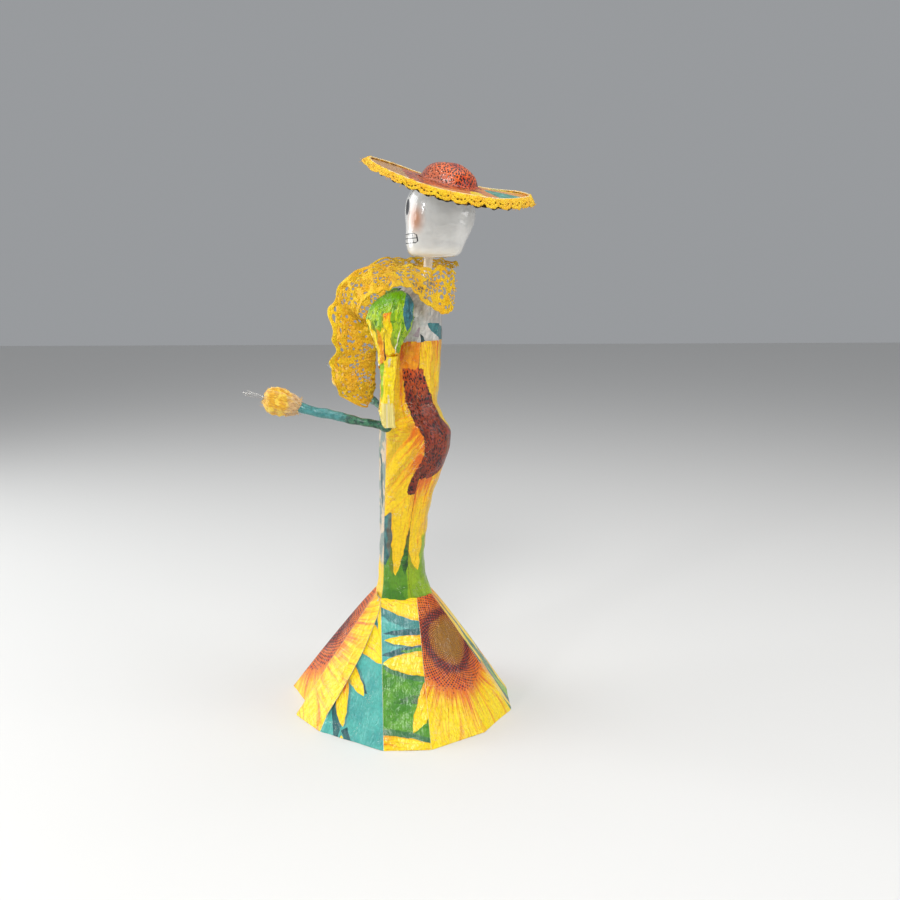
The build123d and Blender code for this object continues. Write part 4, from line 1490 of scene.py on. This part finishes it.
def cells(s, t, size, seed, reach):
    """How far each point is from the border between irregular cells, in millimetres."""
    draw = np.random.default_rng(seed)
    across = int(reach[1] / size[1]) + 3
    length = int(reach[0] / size[0]) + 3
    jitter = draw.uniform(-0.36, 0.36, (length, across, 2))
    best, second = np.full((2, *s.shape), np.inf)
    i0, j0 = np.floor(s / size[0]).astype(int), np.floor(t / size[1]).astype(int)
    for di in (-1, 0, 1):
        for dj in (-1, 0, 1):
            i, j = i0 + di, j0 + dj
            shift = jitter[np.clip(i + 1, 0, length - 1), np.clip(j + 1, 0, across - 1)]
            x, y = (i + 0.5 + shift[..., 0]) * size[0], (j + 0.5 + shift[..., 1]) * size[1]
            away = np.hypot(s - x, t - y)
            second = np.where(away < best, best, np.minimum(second, away))
            best = np.minimum(best, away)
    return (second - best) / 2


SHAWL_WIDTH = 29.0
SHAWL_LENGTH = 330.0
LACE_STEP = 0.42
SHAWL_EYELETS = [
    # Distance from the outer edge, pitch, half length, half width, seed, share missing
    (3.7, 4.4, 1.95, 1.25, 31, 0.0),
    (7.4, 3.7, 1.25, 1.20, 32, 0.08),
    (11.6, 4.9, 1.35, 1.15, 33, 0.25),
    (15.8, 4.4, 1.10, 1.30, 34, 0.30),
    (20.0, 5.2, 1.40, 1.00, 35, 0.30),
    (24.0, 5.6, 1.20, 0.90, 36, 0.40),
]


def holes(s, t, row, pitch, half_length, half_width, seed, missing=0.0):
    """A row of eyelets of uneven size: above zero inside a hole, in millimetres."""
    draw = np.random.default_rng(seed)
    count = int(s.max() / pitch) + 3
    sizes = draw.uniform(0.7, 1.15, count) * (draw.uniform(0, 1, count) > missing)
    shift = draw.uniform(-0.22, 0.22, (count, 2)) * pitch
    i = np.clip((s / pitch).astype(int), 0, count - 1)
    x = s - (i + 0.5) * pitch - shift[i, 0]
    y = t - row - shift[i, 1] * 0.6
    away = np.hypot(x / half_length, y / half_width)
    return (sizes[i] - away) * min(half_length, half_width)


def shawl_field(s, t):
    """The lace's pattern: rows of holes that follow the edge, a net in patches, and a corded, waved edge."""
    edge = SHAWL_WIDTH - 1.0 - 0.7 * np.cos(TAU * s / 12.0) - 0.5 * np.cos(TAU * s / 29.0)
    inward = edge - t
    cloud = ripple(s, t, 15, 8) + 0.4 * ripple(s, t, 7, 9)
    net = cells(s, t, (2.9, 3.3), 3, (SHAWL_LENGTH, SHAWL_WIDTH)) - 0.40
    open_part = np.where((cloud > 0.10) & (inward > 8.5) & (t > 2.5), net, -1.0)
    for row in SHAWL_EYELETS:
        open_part = np.maximum(open_part, holes(s, inward, *row))
    field = np.minimum(0.5, -open_part)
    field = np.where(inward < 1.6, 0.8, field)
    field = np.where(t < 1.6, 0.6, field)
    frayed = 1.6 + 1.5 * ripple(t, t * 0, 2.6, 22)
    ends = np.minimum(s - frayed, SHAWL_LENGTH - frayed - s)
    return np.minimum(np.minimum(field, inward), ends)


def shawl_surface(rows, columns):
    """The strip of lace as it stands: its points, from the gathered inner edge to the ruffled outer edge."""
    stations = [tuple(np.array(e, float) for e in station) for station in SHAWL_LEFT + SHAWL_CHEST]
    flip = np.array([-1.0, 1, 1])
    others = [tuple(np.array(e, float) * flip for e in station) for station in SHAWL_RIGHT + SHAWL_CHEST[:-1]]
    stations = stations + others[::-1]
    s = np.linspace(0, 1, columns)
    inner = through([i for i, _ in stations], s)
    outer = through([o for _, o in stations], s)
    t = np.linspace(0, 1, rows)[:, None, None]
    sheet = inner[None] * (1 - t) + outer[None] * t
    width = unit(outer - inner)
    along = unit(np.gradient(sheet[rows // 2], axis=0))
    normal = unit(np.cross(along, width))
    run = s * SHAWL_LENGTH
    share = np.linspace(0, 1, rows)[:, None]
    big = np.sin(TAU * run / 29.0 + 1.3 * np.sin(TAU * run / 150.0))
    small = np.sin(TAU * run / 12.5 + 1.0 + np.sin(TAU * run / 61.0))
    shoulder = np.clip(np.abs(run - SHAWL_LENGTH / 2) / 60 - 0.5, 0, 1)
    ruffle = (share**1.4) * 2.2 * big * (1 - 0.75 * shoulder) + (share**2.2) * 0.75 * small
    arch = 1.5 * np.sin(math.pi * share) * (1 + 0.4 * big)
    lean = 1.0 * (share**2) * np.sin(TAU * run / 18.0 + 0.7)
    uneven = 0.55 * ripple(run[None, :], share * SHAWL_WIDTH, 9, 15)
    pull = ripple(run[None, :], share * 0, 15, 16) * 0.5 + 0.5
    gathers = 0.7 * (1 - share) ** 3 * pull * np.sin(TAU * run / 5.3 + 1.5 * np.sin(TAU * run / 41.0))
    sheet = sheet + normal[None] * (ruffle - arch + uneven + gathers)[..., None]
    sheet = sheet + along[None] * lean[..., None]
    return sheet + width[None] * (0.5 * (share**2) * np.sin(TAU * run / 14.0))[..., None]


def lace_piece(name, field, surface, thickness, paint, pitch):
    """An object of openwork on a surface; pitch is the grid's step on the flat lace."""
    normals = grid_normals(surface)

    def at(array):
        def sample(r, c):
            r0, c0 = min(int(r), array.shape[0] - 2), min(int(c), array.shape[1] - 2)
            a, b = r - r0, c - c0
            top = array[r0, c0] * (1 - b) + array[r0, c0 + 1] * b
            low = array[r0 + 1, c0] * (1 - b) + array[r0 + 1, c0 + 1] * b
            return top * (1 - a) + low * a

        return sample

    points, faces, printed = openwork(field, at(surface), at(normals), thickness, pitch)
    return make_mesh(name, points, faces, paint, printed, sharp=180)


def make_shawl(paint):
    """The shawl, cut out along its pattern and laid on its ruffled surface."""
    rows, columns = int(SHAWL_WIDTH / LACE_STEP) + 1, int(SHAWL_LENGTH / LACE_STEP) + 1
    s, t = np.meshgrid(np.linspace(0, SHAWL_LENGTH, columns), np.linspace(0, SHAWL_WIDTH, rows))
    field = shawl_field(s, t) / 0.5
    piece = lace_piece("shawl_lace", field, shawl_surface(rows, columns), 0.8, paint, LACE_STEP)
    ride_as(piece, "figure", "gold_lace", "lace_shawl")


GOLD_THREAD = lace_paint("gold_thread", rgb(0.98, 0.50, 0.0), rgb(1.0, 0.70, 0.0), rgb(0.66, 0.27, 0.0))
make_shawl(GOLD_THREAD)

# Skull

SKULL = [
    # height, front y, back y, half width
    (302.9, 12.0, 27.0, 7.0),
    (303.6, 7.0, 33.0, 12.2),
    (305.2, 3.9, 36.2, 14.6),
    (308.0, 2.5, 38.2, 15.6),
    (313.0, 1.8, 40.3, 16.2),
    (318.0, 1.7, 43.0, 17.3),
    (324.0, 1.5, 45.4, 18.6),
    (331.0, 1.4, 46.6, 19.4),
    (337.0, 1.9, 46.3, 19.3),
    (343.0, 4.3, 44.9, 18.2),
    (348.0, 8.6, 42.4, 15.6),
    (352.0, 14.5, 38.5, 11.0),
    (354.0, 20.0, 34.0, 6.0),
]


TOOTH = 1.96


def skull_paint():
    """Glossy white enamel with a brush-drawn face: round eyes with strokes over them, a nose, teeth and a soft blush.
    """
    material, tree, shader = new_material("white_enamel", Roughness=0.22, Coat_Weight=1.0, Coat_Roughness=0.03)
    here = place(tree)
    x, y, z = here.parts()
    side = abs(x)
    cloud = noise(here, 0.09, 2.0)
    white = mix(cloud.ramp(0.35, 0.7), rgb(0.70, 0.69, 0.66), rgb(0.80, 0.79, 0.76))
    chin = (z + cloud * 6).ramp(316, 305)
    colour = mix(chin * 0.55, white, rgb(0.86, 0.80, 0.66))
    front = y.ramp(22, 14)
    blush = vector((side - 16.0) * 0.10, (y - 7.4) * 0.15, (z - 326.5) * 0.100).length()
    colour = mix(blush.ramp(1.25, 0.10) * 0.9, colour, rgb(0.58, 0.22, 0.08))
    ink = rgb(0.012, 0.011, 0.012)
    brush = jitter(here, 0.9, 0.5, 3.0)
    # Eyes: tall black ovals, with short strokes over them
    ex, ez = (side - 6.4) * 1.35, (z - 334.1) * 0.86
    away = (ex * ex + ez * ez).math("SQRT") + brush
    eye = away.ramp(4.4, 4.2)
    brow_x = (side + (z - 342.6) * -0.55 - 8.2) * 0.9
    brow = abs(brow_x + brush).ramp(0.55, 0.30) * abs(z - 342.6).ramp(2.6, 2.2)
    second = abs(brow_x + 2.3 + brush).ramp(0.45, 0.25) * abs(z - 343.2).ramp(2.0, 1.6)
    # Nose: an upside-down heart
    nx, nz = abs(side - 1.25), z - 321.4
    nose = ((nx * nx + (nz * nz) * 0.42).math("SQRT") + brush * 0.5).ramp(1.55, 1.35)
    # Teeth: two rows of boxes with rounded ends
    grin = z - 1.55 + (side * side) * -0.003
    reach = (abs(grin - 312.85) - 2.0).math("MAXIMUM", 0.0) * 0.9 + side
    box = reach.ramp(14.0, 13.8) * grin.ramp(309.6, 309.8) * grin.ramp(316.1, 315.9)
    bars = [abs(grin - height).ramp(0.34, 0.20) for height in (312.9, 315.7, 310.0)]
    gap = abs((side / TOOTH).math("FRACT") - 0.5) * TOOTH
    lines = most(*bars, (gap * -1.0 + TOOTH / 2).ramp(0.24, 0.13), abs(reach - 13.7).ramp(0.36, 0.2))
    drawn = most(eye, brow, second, nose, box * lines)
    colour = mix(drawn * front, colour, ink)
    set_input(shader, "Base Color", colour)
    bump(shader, noise(here, 0.13, 2.0) + noise(here, 0.5, 2.0) * 0.12, 0.0012, 0.5, coat=True)
    return material


def make_skull():
    """A doll-like skull: flat face, cheekbones, hollows at the temples and eyes, and a squared jaw."""
    low, high = SKULL[0][0], SKULL[-1][0]
    heights = np.concatenate([[low - 0.15], np.linspace(low, high, 120)])
    sizes = table_at(SKULL, np.clip(heights, low, high))
    columns = 160
    turn = around(columns)
    grid = np.zeros((len(heights), columns, 3))
    for r, (height, (front, back, half_width)) in enumerate(zip(heights, sizes)):
        middle, depth = (front + back) / 2, (back - front) / 2
        square = 0.87 + 0.03 * math.tanh((height - 322) / 5)
        x = half_width * np.sign(np.cos(turn)) * np.abs(np.cos(turn)) ** square
        y = middle + depth * np.sign(np.sin(turn)) * np.abs(np.sin(turn)) ** square
        face = np.clip((14 - y) / 12, 0, 1)
        cheek = math.exp(-(((height - 322.5) / 5.0) ** 2))
        hollow = math.exp(-(((height - 315.0) / 4.5) ** 2))
        x = x * (1 + 0.045 * cheek * face - 0.05 * hollow * face)
        socket = np.exp(-(((np.abs(x) - 6.4) / 3.2) ** 2)) * math.exp(-(((height - 334.0) / 4.6) ** 2))
        nose = np.exp(-((x / 2.4) ** 2)) * math.exp(-(((height - 321.4) / 2.6) ** 2))
        mouth = np.exp(-((x / 15.0) ** 4)) * math.exp(-(((height - 312.9) / 3.4) ** 2))
        y = y + (y < 16) * (1.1 * socket + 0.8 * nose - 0.35 * mouth)
        grid[r] = np.stack([x, y, np.full(columns, height)], axis=1)
    grid[0] = grid[0] * 0.4 + grid[0].mean(0) * 0.6
    points = np.concatenate([grid.reshape(-1, 3), [grid[0].mean(0), grid[-1].mean(0) + (0, 0, 0.4)]])
    faces = capped_faces(len(heights), columns)
    piece = make_mesh("skull_enamel", points, faces, skull_paint(), sharp=80)
    ride_as(piece, "head", "white_enamel", "skull")


make_skull()

# Hat


def hat_axes():
    """The tilted hat's centre, and its directions to the side, to the back and up."""
    roll, pitch = math.radians(HAT_ROLL), math.radians(HAT_PITCH)
    side = np.array([math.cos(roll), 0, -math.sin(roll)])
    back = np.array([0, math.cos(pitch), -math.sin(pitch)])
    up = unit(np.cross(side, back))
    return np.array(HAT_CENTRE), side, np.cross(up, side), up


def on_hat(x, y, height):
    """Points of the hat's own frame, where height is above the brim's curved underside."""
    centre, side, back, up = hat_axes()
    x, y, height = np.broadcast_arrays(x, y, height)
    lift = height + BRIM_LIFT * (y * y - x * x) / BRIM_RADIUS**2
    return centre + x[..., None] * side + y[..., None] * back + lift[..., None] * up


def brim_rise(turn, share):
    """The brim's own unevenness, which grows to its rim."""
    return share**2 * (0.7 * np.sin(2 * turn + 0.6) + 0.45 * np.sin(3 * turn + 2.0) + 0.25 * np.sin(7 * turn))


def brim_ground(flat, x, y):
    """Tan dotted with brown at the front, orange at the sides."""
    dots = add("TexVoronoi", flat, None, 0.9, voronoi_dimensions="2D")
    tan = mix(Wire(dots.outputs["Distance"]).ramp(0.35, 0.2), rgb(0.66, 0.34, 0.11), rgb(0.16, 0.05, 0.02))
    return mix((y + jitter(flat, 0.05, 20, 2.0)).ramp(-14, -4), tan, rgb(0.70, 0.24, 0.03))


def hat_paint():
    """Flame florets over the front of the brim, then petals and green towards the back."""
    features = [
        ("florets", (-44, -10), (36, -22), 34),
        ((TURQUOISE, rgb(0.05, 0.25, 0.12)), (34, 44), (2, 24), 22),
        ("gold", (-20, 56), (-12, 20), 17),
        (ORANGE_PAIR, (10, 56), (0, 30), 12),
        ("gold", (54, 20), (24, 14), 12),
        ("florets", (30, -26), (20, 22), 22),
        ("gold", (-56, 16), (-22, 14), 16),
        ((TURQUOISE, GREEN), (-44, 42), (-22, 24), 14),
    ]
    return paper_print("print_hat", brim_ground, features, wrinkle=0.9)


def crown_paint():
    """Flame florets all over, with black dashes, fading to a dusty pink towards the front of its foot."""
    material, tree, shader = new_material("print_crown", **VARNISH)
    point = printed_point(tree)
    x, y, _ = point.parts()
    spots = add("TexVoronoi", vector(x * 0.80, y * 1.15, 0.0), None, 0.50, voronoi_dimensions="2D")
    spots.inputs["Randomness"].default_value = 0.75
    far = Wire(spots.outputs["Distance"])
    wash = noise(point, 0.09, 3.0)
    flame = mix(wash.ramp(0.35, 0.65), rgb(0.50, 0.035, 0.004), rgb(0.84, 0.13, 0.005))
    dust = mix(wash.ramp(0.4, 0.6), rgb(0.26, 0.09, 0.06), rgb(0.42, 0.17, 0.12))
    fade = ((x * x + y * y).math("SQRT") + (wash - 0.5) * 10 + y * -0.45).ramp(17.0, 26.0)
    colour = mix(fade * 0.55, flame, dust)
    colour = mix((far + (wash - 0.5) * 0.12 + fade * 0.10).ramp(0.40, 0.30), colour, SOOT)
    varnished(shader, colour, point, 0.8)
    return material


BRIM_CARD = 1.2
# Radius and height above the brim's underside, from the foot up
CROWN_OUTLINE = [(21.4, 1.25), (19.0, 1.9), (17.7, 4.4), (15.4, 7.9), (10.8, 11.0), (5.4, 12.6), (0.15, 13.0)]


def make_brim():
    """A disc of card, curved like a saddle, with a hole for the head's top."""
    columns, rows = 200, 44
    turn = around(columns)
    radii = np.linspace(CROWN_RADIUS - 1.5, BRIM_RADIUS, rows)[:, None]
    share = (radii - CROWN_RADIUS) / (BRIM_RADIUS - CROWN_RADIUS)
    x, y = radii * np.cos(turn), radii * np.sin(turn)
    rise = brim_rise(turn[None], np.clip(share, 0, 1))
    points, faces = ring_card(on_hat(x, y, BRIM_CARD + rise * 0.6), on_hat(x, y, rise * 0.6))
    slots = [0] * (2 * (rows - 1) * columns) + [1] * (2 * columns)
    printed = np.stack([x, y, np.broadcast_to(BRIM_RADIUS - radii, x.shape)], axis=-1)
    papers = np.concatenate([printed.reshape(-1, 3)] * 2)
    brim = make_mesh("brim_card", points, faces, [hat_paint(), EDGE_CARD], papers, slots)
    ride_as(brim, "head", "hat_card", "hat_brim")


def make_crown():
    """A dome that is dented a little, with a foot that curls out onto the brim."""
    columns, rows = 200, 48
    turn = around(columns)
    outline = through(CROWN_OUTLINE, np.linspace(0, 1, rows))
    dent = 1 + 0.022 * np.sin(2 * turn + 1) + 0.015 * np.sin(5 * turn)
    spread = outline[:, :1] * dent[None]
    x, y = spread * np.cos(turn), spread * np.sin(turn)
    bumps = 0.25 * ripple(x, y, 12, 101)
    outer = on_hat(x, y, outline[:, 1:] + bumps)
    inner = on_hat(x * 0.955, y * 0.955, outline[:, 1:] * 0.955 + bumps - 0.15)
    tops = [outer[-1].mean(0), inner[-1].mean(0)]
    points = np.concatenate([outer.reshape(-1, 3), inner.reshape(-1, 3), tops])
    half = rows * columns
    faces = grid_faces(rows, columns, closed=True)
    faces += grid_faces(rows, columns, start=half, closed=True, flip=True) + band(half, 0, columns)
    faces += cap(2 * half, half - columns, columns) + cap(2 * half + 1, 2 * half - columns, columns, flip=True)
    arc = np.concatenate([[0], np.cumsum(np.linalg.norm(np.diff(outline, axis=0), axis=1))])
    reach = (arc[-1] - arc)[:, None]
    flat = np.stack([reach * np.cos(turn), reach * np.sin(turn), np.full((rows, columns), NO_SEAM)], axis=-1)
    papers = np.concatenate([flat.reshape(-1, 3)] * 2 + [np.zeros((2, 3))])
    crown = make_mesh("crown_paper", points, faces, crown_paint(), papers, sharp=60)
    ride_as(crown, "head", "hat_card", "hat_crown")


def make_lining():
    """The dark paper under the brim, with its edge torn a little short of the rim."""
    columns, rows = 160, 16
    turn = around(columns)
    rim = BRIM_RADIUS - 0.9 + 0.3 * np.sin(9 * turn) + 0.2 * np.sin(23 * turn)
    share = np.linspace(0, 1, rows)[:, None]
    radii = (CROWN_RADIUS - 1.0) * (1 - share) + rim[None] * share
    x, y = radii * np.cos(turn), radii * np.sin(turn)
    rise = brim_rise(turn[None], np.clip((radii - CROWN_RADIUS) / (BRIM_RADIUS - CROWN_RADIUS), 0, 1)) * 0.6
    points, faces = ring_card(on_hat(x, y, rise - 0.06), on_hat(x, y, rise - 0.42))
    paint = plain_paint("dark_lining", rgb(0.012, 0.011, 0.010), rgb(0.035, 0.030, 0.026), 0.8, 0.5, 0.0004, 0.55)
    lining = make_mesh("lining_paper", points, faces, paint)
    ride_as(lining, "head", "dark_lining", "brim_lining")
    return paint


EDGING_RADIUS = BRIM_RADIUS + 1.0
EDGING_DROP = 8.0
EDGING_STEP = 0.4
SCALLOP = 9.8


def edging_field(s, t, girth):
    """Crochet edging: fans of thread, joined by arcs, in scallops that hang from a plain band."""
    count = round(girth / SCALLOP)
    pitch = girth / count
    x = s % pitch - pitch / 2
    hang = 4.6 + 3.1 * np.sqrt(np.clip(1 - (x / (pitch * 0.51)) ** 2, 0, 1))
    fan = np.arctan2(x, t - 0.6)
    away = np.hypot(x, t - 0.6)
    spokes = 0.50 - np.abs(np.sin(fan * 6.5)) * away / 5.0
    arcs = 0.66 - np.abs((away - 0.3) % 2.1 - 1.05)
    field = np.maximum(spokes, arcs)
    chance = ripple(s, t, 6, 48)
    field = np.where((t < 3.0) | (chance > 0.15), np.maximum(field, 0.12 + 0.4 * arcs), field)
    rim = hang - t
    field = np.where(rim < 1.1, 0.5, field)
    return np.minimum(field, rim + 0.3 * ripple(s, t, 1.6, 45))


def make_edging(paint):
    """Lace sewn round the brim: it starts on top of the rim, turns over it, and hangs down and outward."""
    girth = TAU * EDGING_RADIUS
    columns, rows = int(girth / EDGING_STEP), int(EDGING_DROP / EDGING_STEP) + 1
    turn = around(columns)
    s, t = np.meshgrid(turn * EDGING_RADIUS, np.linspace(0, EDGING_DROP, rows))
    profile = [(0, -1.2, 1.75), (1.1, -0.2, 1.95), (1.8, 0.5, 1.5), (2.8, 1.2, 0.6), (8.0, 3.8, -3.6)]
    shape = table_at(profile, t[:, 0])
    wave = 0.5 * np.sin(turn * 29 + 1) + 0.35 * np.sin(turn * 17)
    hanging = np.clip((t[:, 0] - 2.2) / 7, 0, 1)[:, None]
    radii = BRIM_RADIUS + shape[:, :1] + hanging * wave[None] * 1.3
    x, y = radii * np.cos(turn), radii * np.sin(turn)
    rim = brim_rise(turn, 1.0) * 0.6
    centre, side, back, up = hat_axes()
    at_rim = BRIM_LIFT * (np.sin(turn) ** 2 - np.cos(turn) ** 2)
    front = np.clip(-np.sin(turn), 0, 1)[None]
    height = shape[:, 1:] + rim[None] + at_rim[None] + 0.25 * ripple(s, t, 7, 46) + hanging * front * 3.4
    surface = centre + x[..., None] * side + y[..., None] * back + height[..., None] * up
    field = edging_field(s, t, girth) / 0.4
    # The grid is closed by repeating its first column
    surface = np.concatenate([surface, surface[:, :1]], axis=1)
    field = np.concatenate([field, field[:, :1]], axis=1)
    piece = lace_piece("edging_lace", field, surface, 0.9, paint, EDGING_STEP)
    draw = np.random.default_rng(47)
    threads = []
    for _ in range(150):
        c = int(draw.integers(0, columns))
        r = int(np.argmin(np.abs(t[:, 0] - draw.uniform(5.0, 7.2))))
        begin = surface[r, c]
        out = unit(surface[-1, c] - surface[0, c])
        way = unit(out * draw.uniform(0.2, 1.0) + draw.normal(0, 0.5, 3))
        length = draw.uniform(1.0, 2.6)
        bend = begin + way * length * 0.5 + draw.normal(0, 0.25, 3)
        threads.append(tube(through([begin, bend, begin + way * length], np.linspace(0, 1, 5)), 0.09, 4))
    points, faces = joined(threads)
    loose = make_mesh("edging_threads", points, faces, paint, sharp=180)
    ride_as(loose, "head", "gold_lace")
    ride_as(piece, "head", "gold_lace", "hat_lace")


CORD_SIDES = 8


def make_dark_strip_and_cord(paint):
    """A dark strip that hangs behind the edging and shows between its scallops, and the pale cord over its top."""
    columns = 260
    turn = around(columns)
    uneven_edge = 0.5 * np.sin(turn * 31 + 1) + 0.4 * np.sin(turn * 57)
    rim = brim_rise(turn, 1.0) * 0.6
    rings = []
    for out, drop in ((0.25, -0.1), (0.8, -2.2), (1.4, -3.6), (1.1, -3.7), (0.5, -2.3), (-0.1, -0.4)):
        radius = BRIM_RADIUS + out
        lift = np.clip(-np.sin(turn), 0, 1) * max(-drop, 0) * 0.75
        depth = drop + lift + (uneven_edge if drop < -3 else 0)
        rings.append(on_hat(radius * np.cos(turn), radius * np.sin(turn), rim + depth))
    piece = make_mesh("edging_dark_strip", np.concatenate(rings), loop_faces(len(rings), columns), paint)
    ride_as(piece, "head", "dark_lining")
    radius = BRIM_RADIUS - 0.9
    path = on_hat(radius * np.cos(turn), radius * np.sin(turn), rim + 2.1)
    inward = unit(on_hat(0 * turn, 0 * turn, 0 * turn) - path)
    up = hat_axes()[3]
    ring = around(CORD_SIDES)
    thick = 0.42 + 0.06 * np.sin(turn * 90)
    tube_grid = path[:, None] + thick[:, None, None] * (
        inward[:, None] * np.cos(ring)[None, :, None] + up * np.sin(ring)[None, :, None]
    )
    cord = plain_paint("cream_cord", rgb(0.80, 0.62, 0.30), rgb(0.92, 0.78, 0.48), 2.0, 0.7, 0.0003, 0.7)
    faces = loop_faces(columns, CORD_SIDES)
    piece = make_mesh("edging_cord", tube_grid.reshape(-1, 3), faces, cord, sharp=180)
    ride_as(piece, "head", "gold_lace")


make_brim()
make_crown()
DARK_PAINT = make_lining()
make_edging(GOLD_THREAD)
make_dark_strip_and_cord(DARK_PAINT)

# Pieces that stay as CAD has them: the neck, and what is inside

WOOD = plain_paint("dowel_wood", rgb(0.74, 0.60, 0.44), rgb(0.86, 0.76, 0.62), 0.5, 0.5, 0.0003, 0.55)
BASE_CARD = plain_paint("base_card", rgb(0.42, 0.31, 0.19), rgb(0.55, 0.43, 0.28), 0.6, 0.5, 0.0003, 0.8)
NEWSPAPER = plain_paint("rolled_newspaper", rgb(0.58, 0.56, 0.50), rgb(0.30, 0.29, 0.27), 0.9, 0.5, 0.0004, 0.85)
STEEL = rgb(0.40, 0.40, 0.40), rgb(0.25, 0.24, 0.23)
THICK_WIRE = plain_paint("armature_wire", *STEEL, 2.0, 0.3, 0.0001, 0.4, Metallic=1.0)
for node, paint in {"dowel": WOOD, "base_board": BASE_CARD, "paper_core": NEWSPAPER, "arm_wire": THICK_WIRE}.items():
    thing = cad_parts[node]
    thing.data.materials.clear()
    thing.data.materials.append(paint)

# Camera, lights, floor


def make_light(name, where, aim, size, power, colour=(1, 1, 1)):
    """A soft panel that faces the figure's axis at the height aim."""
    lamp = bpy.data.lights.new(name, "AREA")
    lamp.shape, lamp.size, lamp.size_y = "RECTANGLE", *size
    lamp.energy, lamp.color = power, colour
    thing = bpy.data.objects.new(name, lamp)
    thing.location = where
    x, y, z = where
    thing.rotation_euler = (math.atan2(math.hypot(x, y), z - aim), 0.0, math.atan2(-y, -x) - math.pi / 2)
    bpy.context.scene.collection.objects.link(thing)


def make_floor():
    """A plain pale floor, three metres to each side."""
    size = 3.0
    mesh = bpy.data.meshes.new("floor")
    corners = [(-size, -size, 0), (size, -size, 0), (size, size, 0), (-size, size, 0)]
    mesh.from_pydata(corners, [], [(0, 1, 2, 3)])
    material, _, shader = new_material("floor", Roughness=0.6)
    shader.inputs["Base Color"].default_value = rgb(0.78, 0.77, 0.75)
    mesh.materials.append(material)
    floor = bpy.data.objects.new("floor", mesh)
    floor.location = (0, 0, -0.0002)
    bpy.context.scene.collection.objects.link(floor)


def make_camera():
    """The view from the figure's left, a little above it, turned slightly towards its back."""
    camera = bpy.data.cameras.new("camera")
    camera.sensor_width, camera.lens = 36.0, 39.0
    thing = bpy.data.objects.new("camera", camera)
    thing.location = (0.638, 0.0, 0.300)
    thing.rotation_euler = (math.radians(90 - 10.9), 0.0, math.radians(90 - 2.7))
    bpy.context.scene.collection.objects.link(thing)
    bpy.context.scene.camera = thing


bpy.context.scene.view_settings.view_transform = "Standard"
make_floor()
make_camera()
world = bpy.data.worlds.new("studio")
bpy.context.scene.world = world
world.use_nodes = True
world.node_tree.nodes["Background"].inputs[0].default_value = rgb(0.93, 0.96, 1.0)
world.node_tree.nodes["Background"].inputs[1].default_value = 0.34
# Name, place, height aimed at on the figure's axis, size, power, colour
make_light("window", (-0.15, -1.0, 0.50), 0.18, (0.8, 0.9), 8.5, (0.97, 0.99, 1.0))
make_light("ceiling", (0.80, -0.06, 0.98), 0.12, (0.34, 0.34), 6.0)
make_light("top", (-0.1, 0.25, 1.2), 0.2, (0.8, 0.8), 4.0)
make_light("back", (0.35, 1.0, 0.45), 0.18, (0.7, 0.7), 3.5)
make_light("lamp", (0.62, -0.56, 0.40), 0.28, (0.06, 0.06), 0.9)
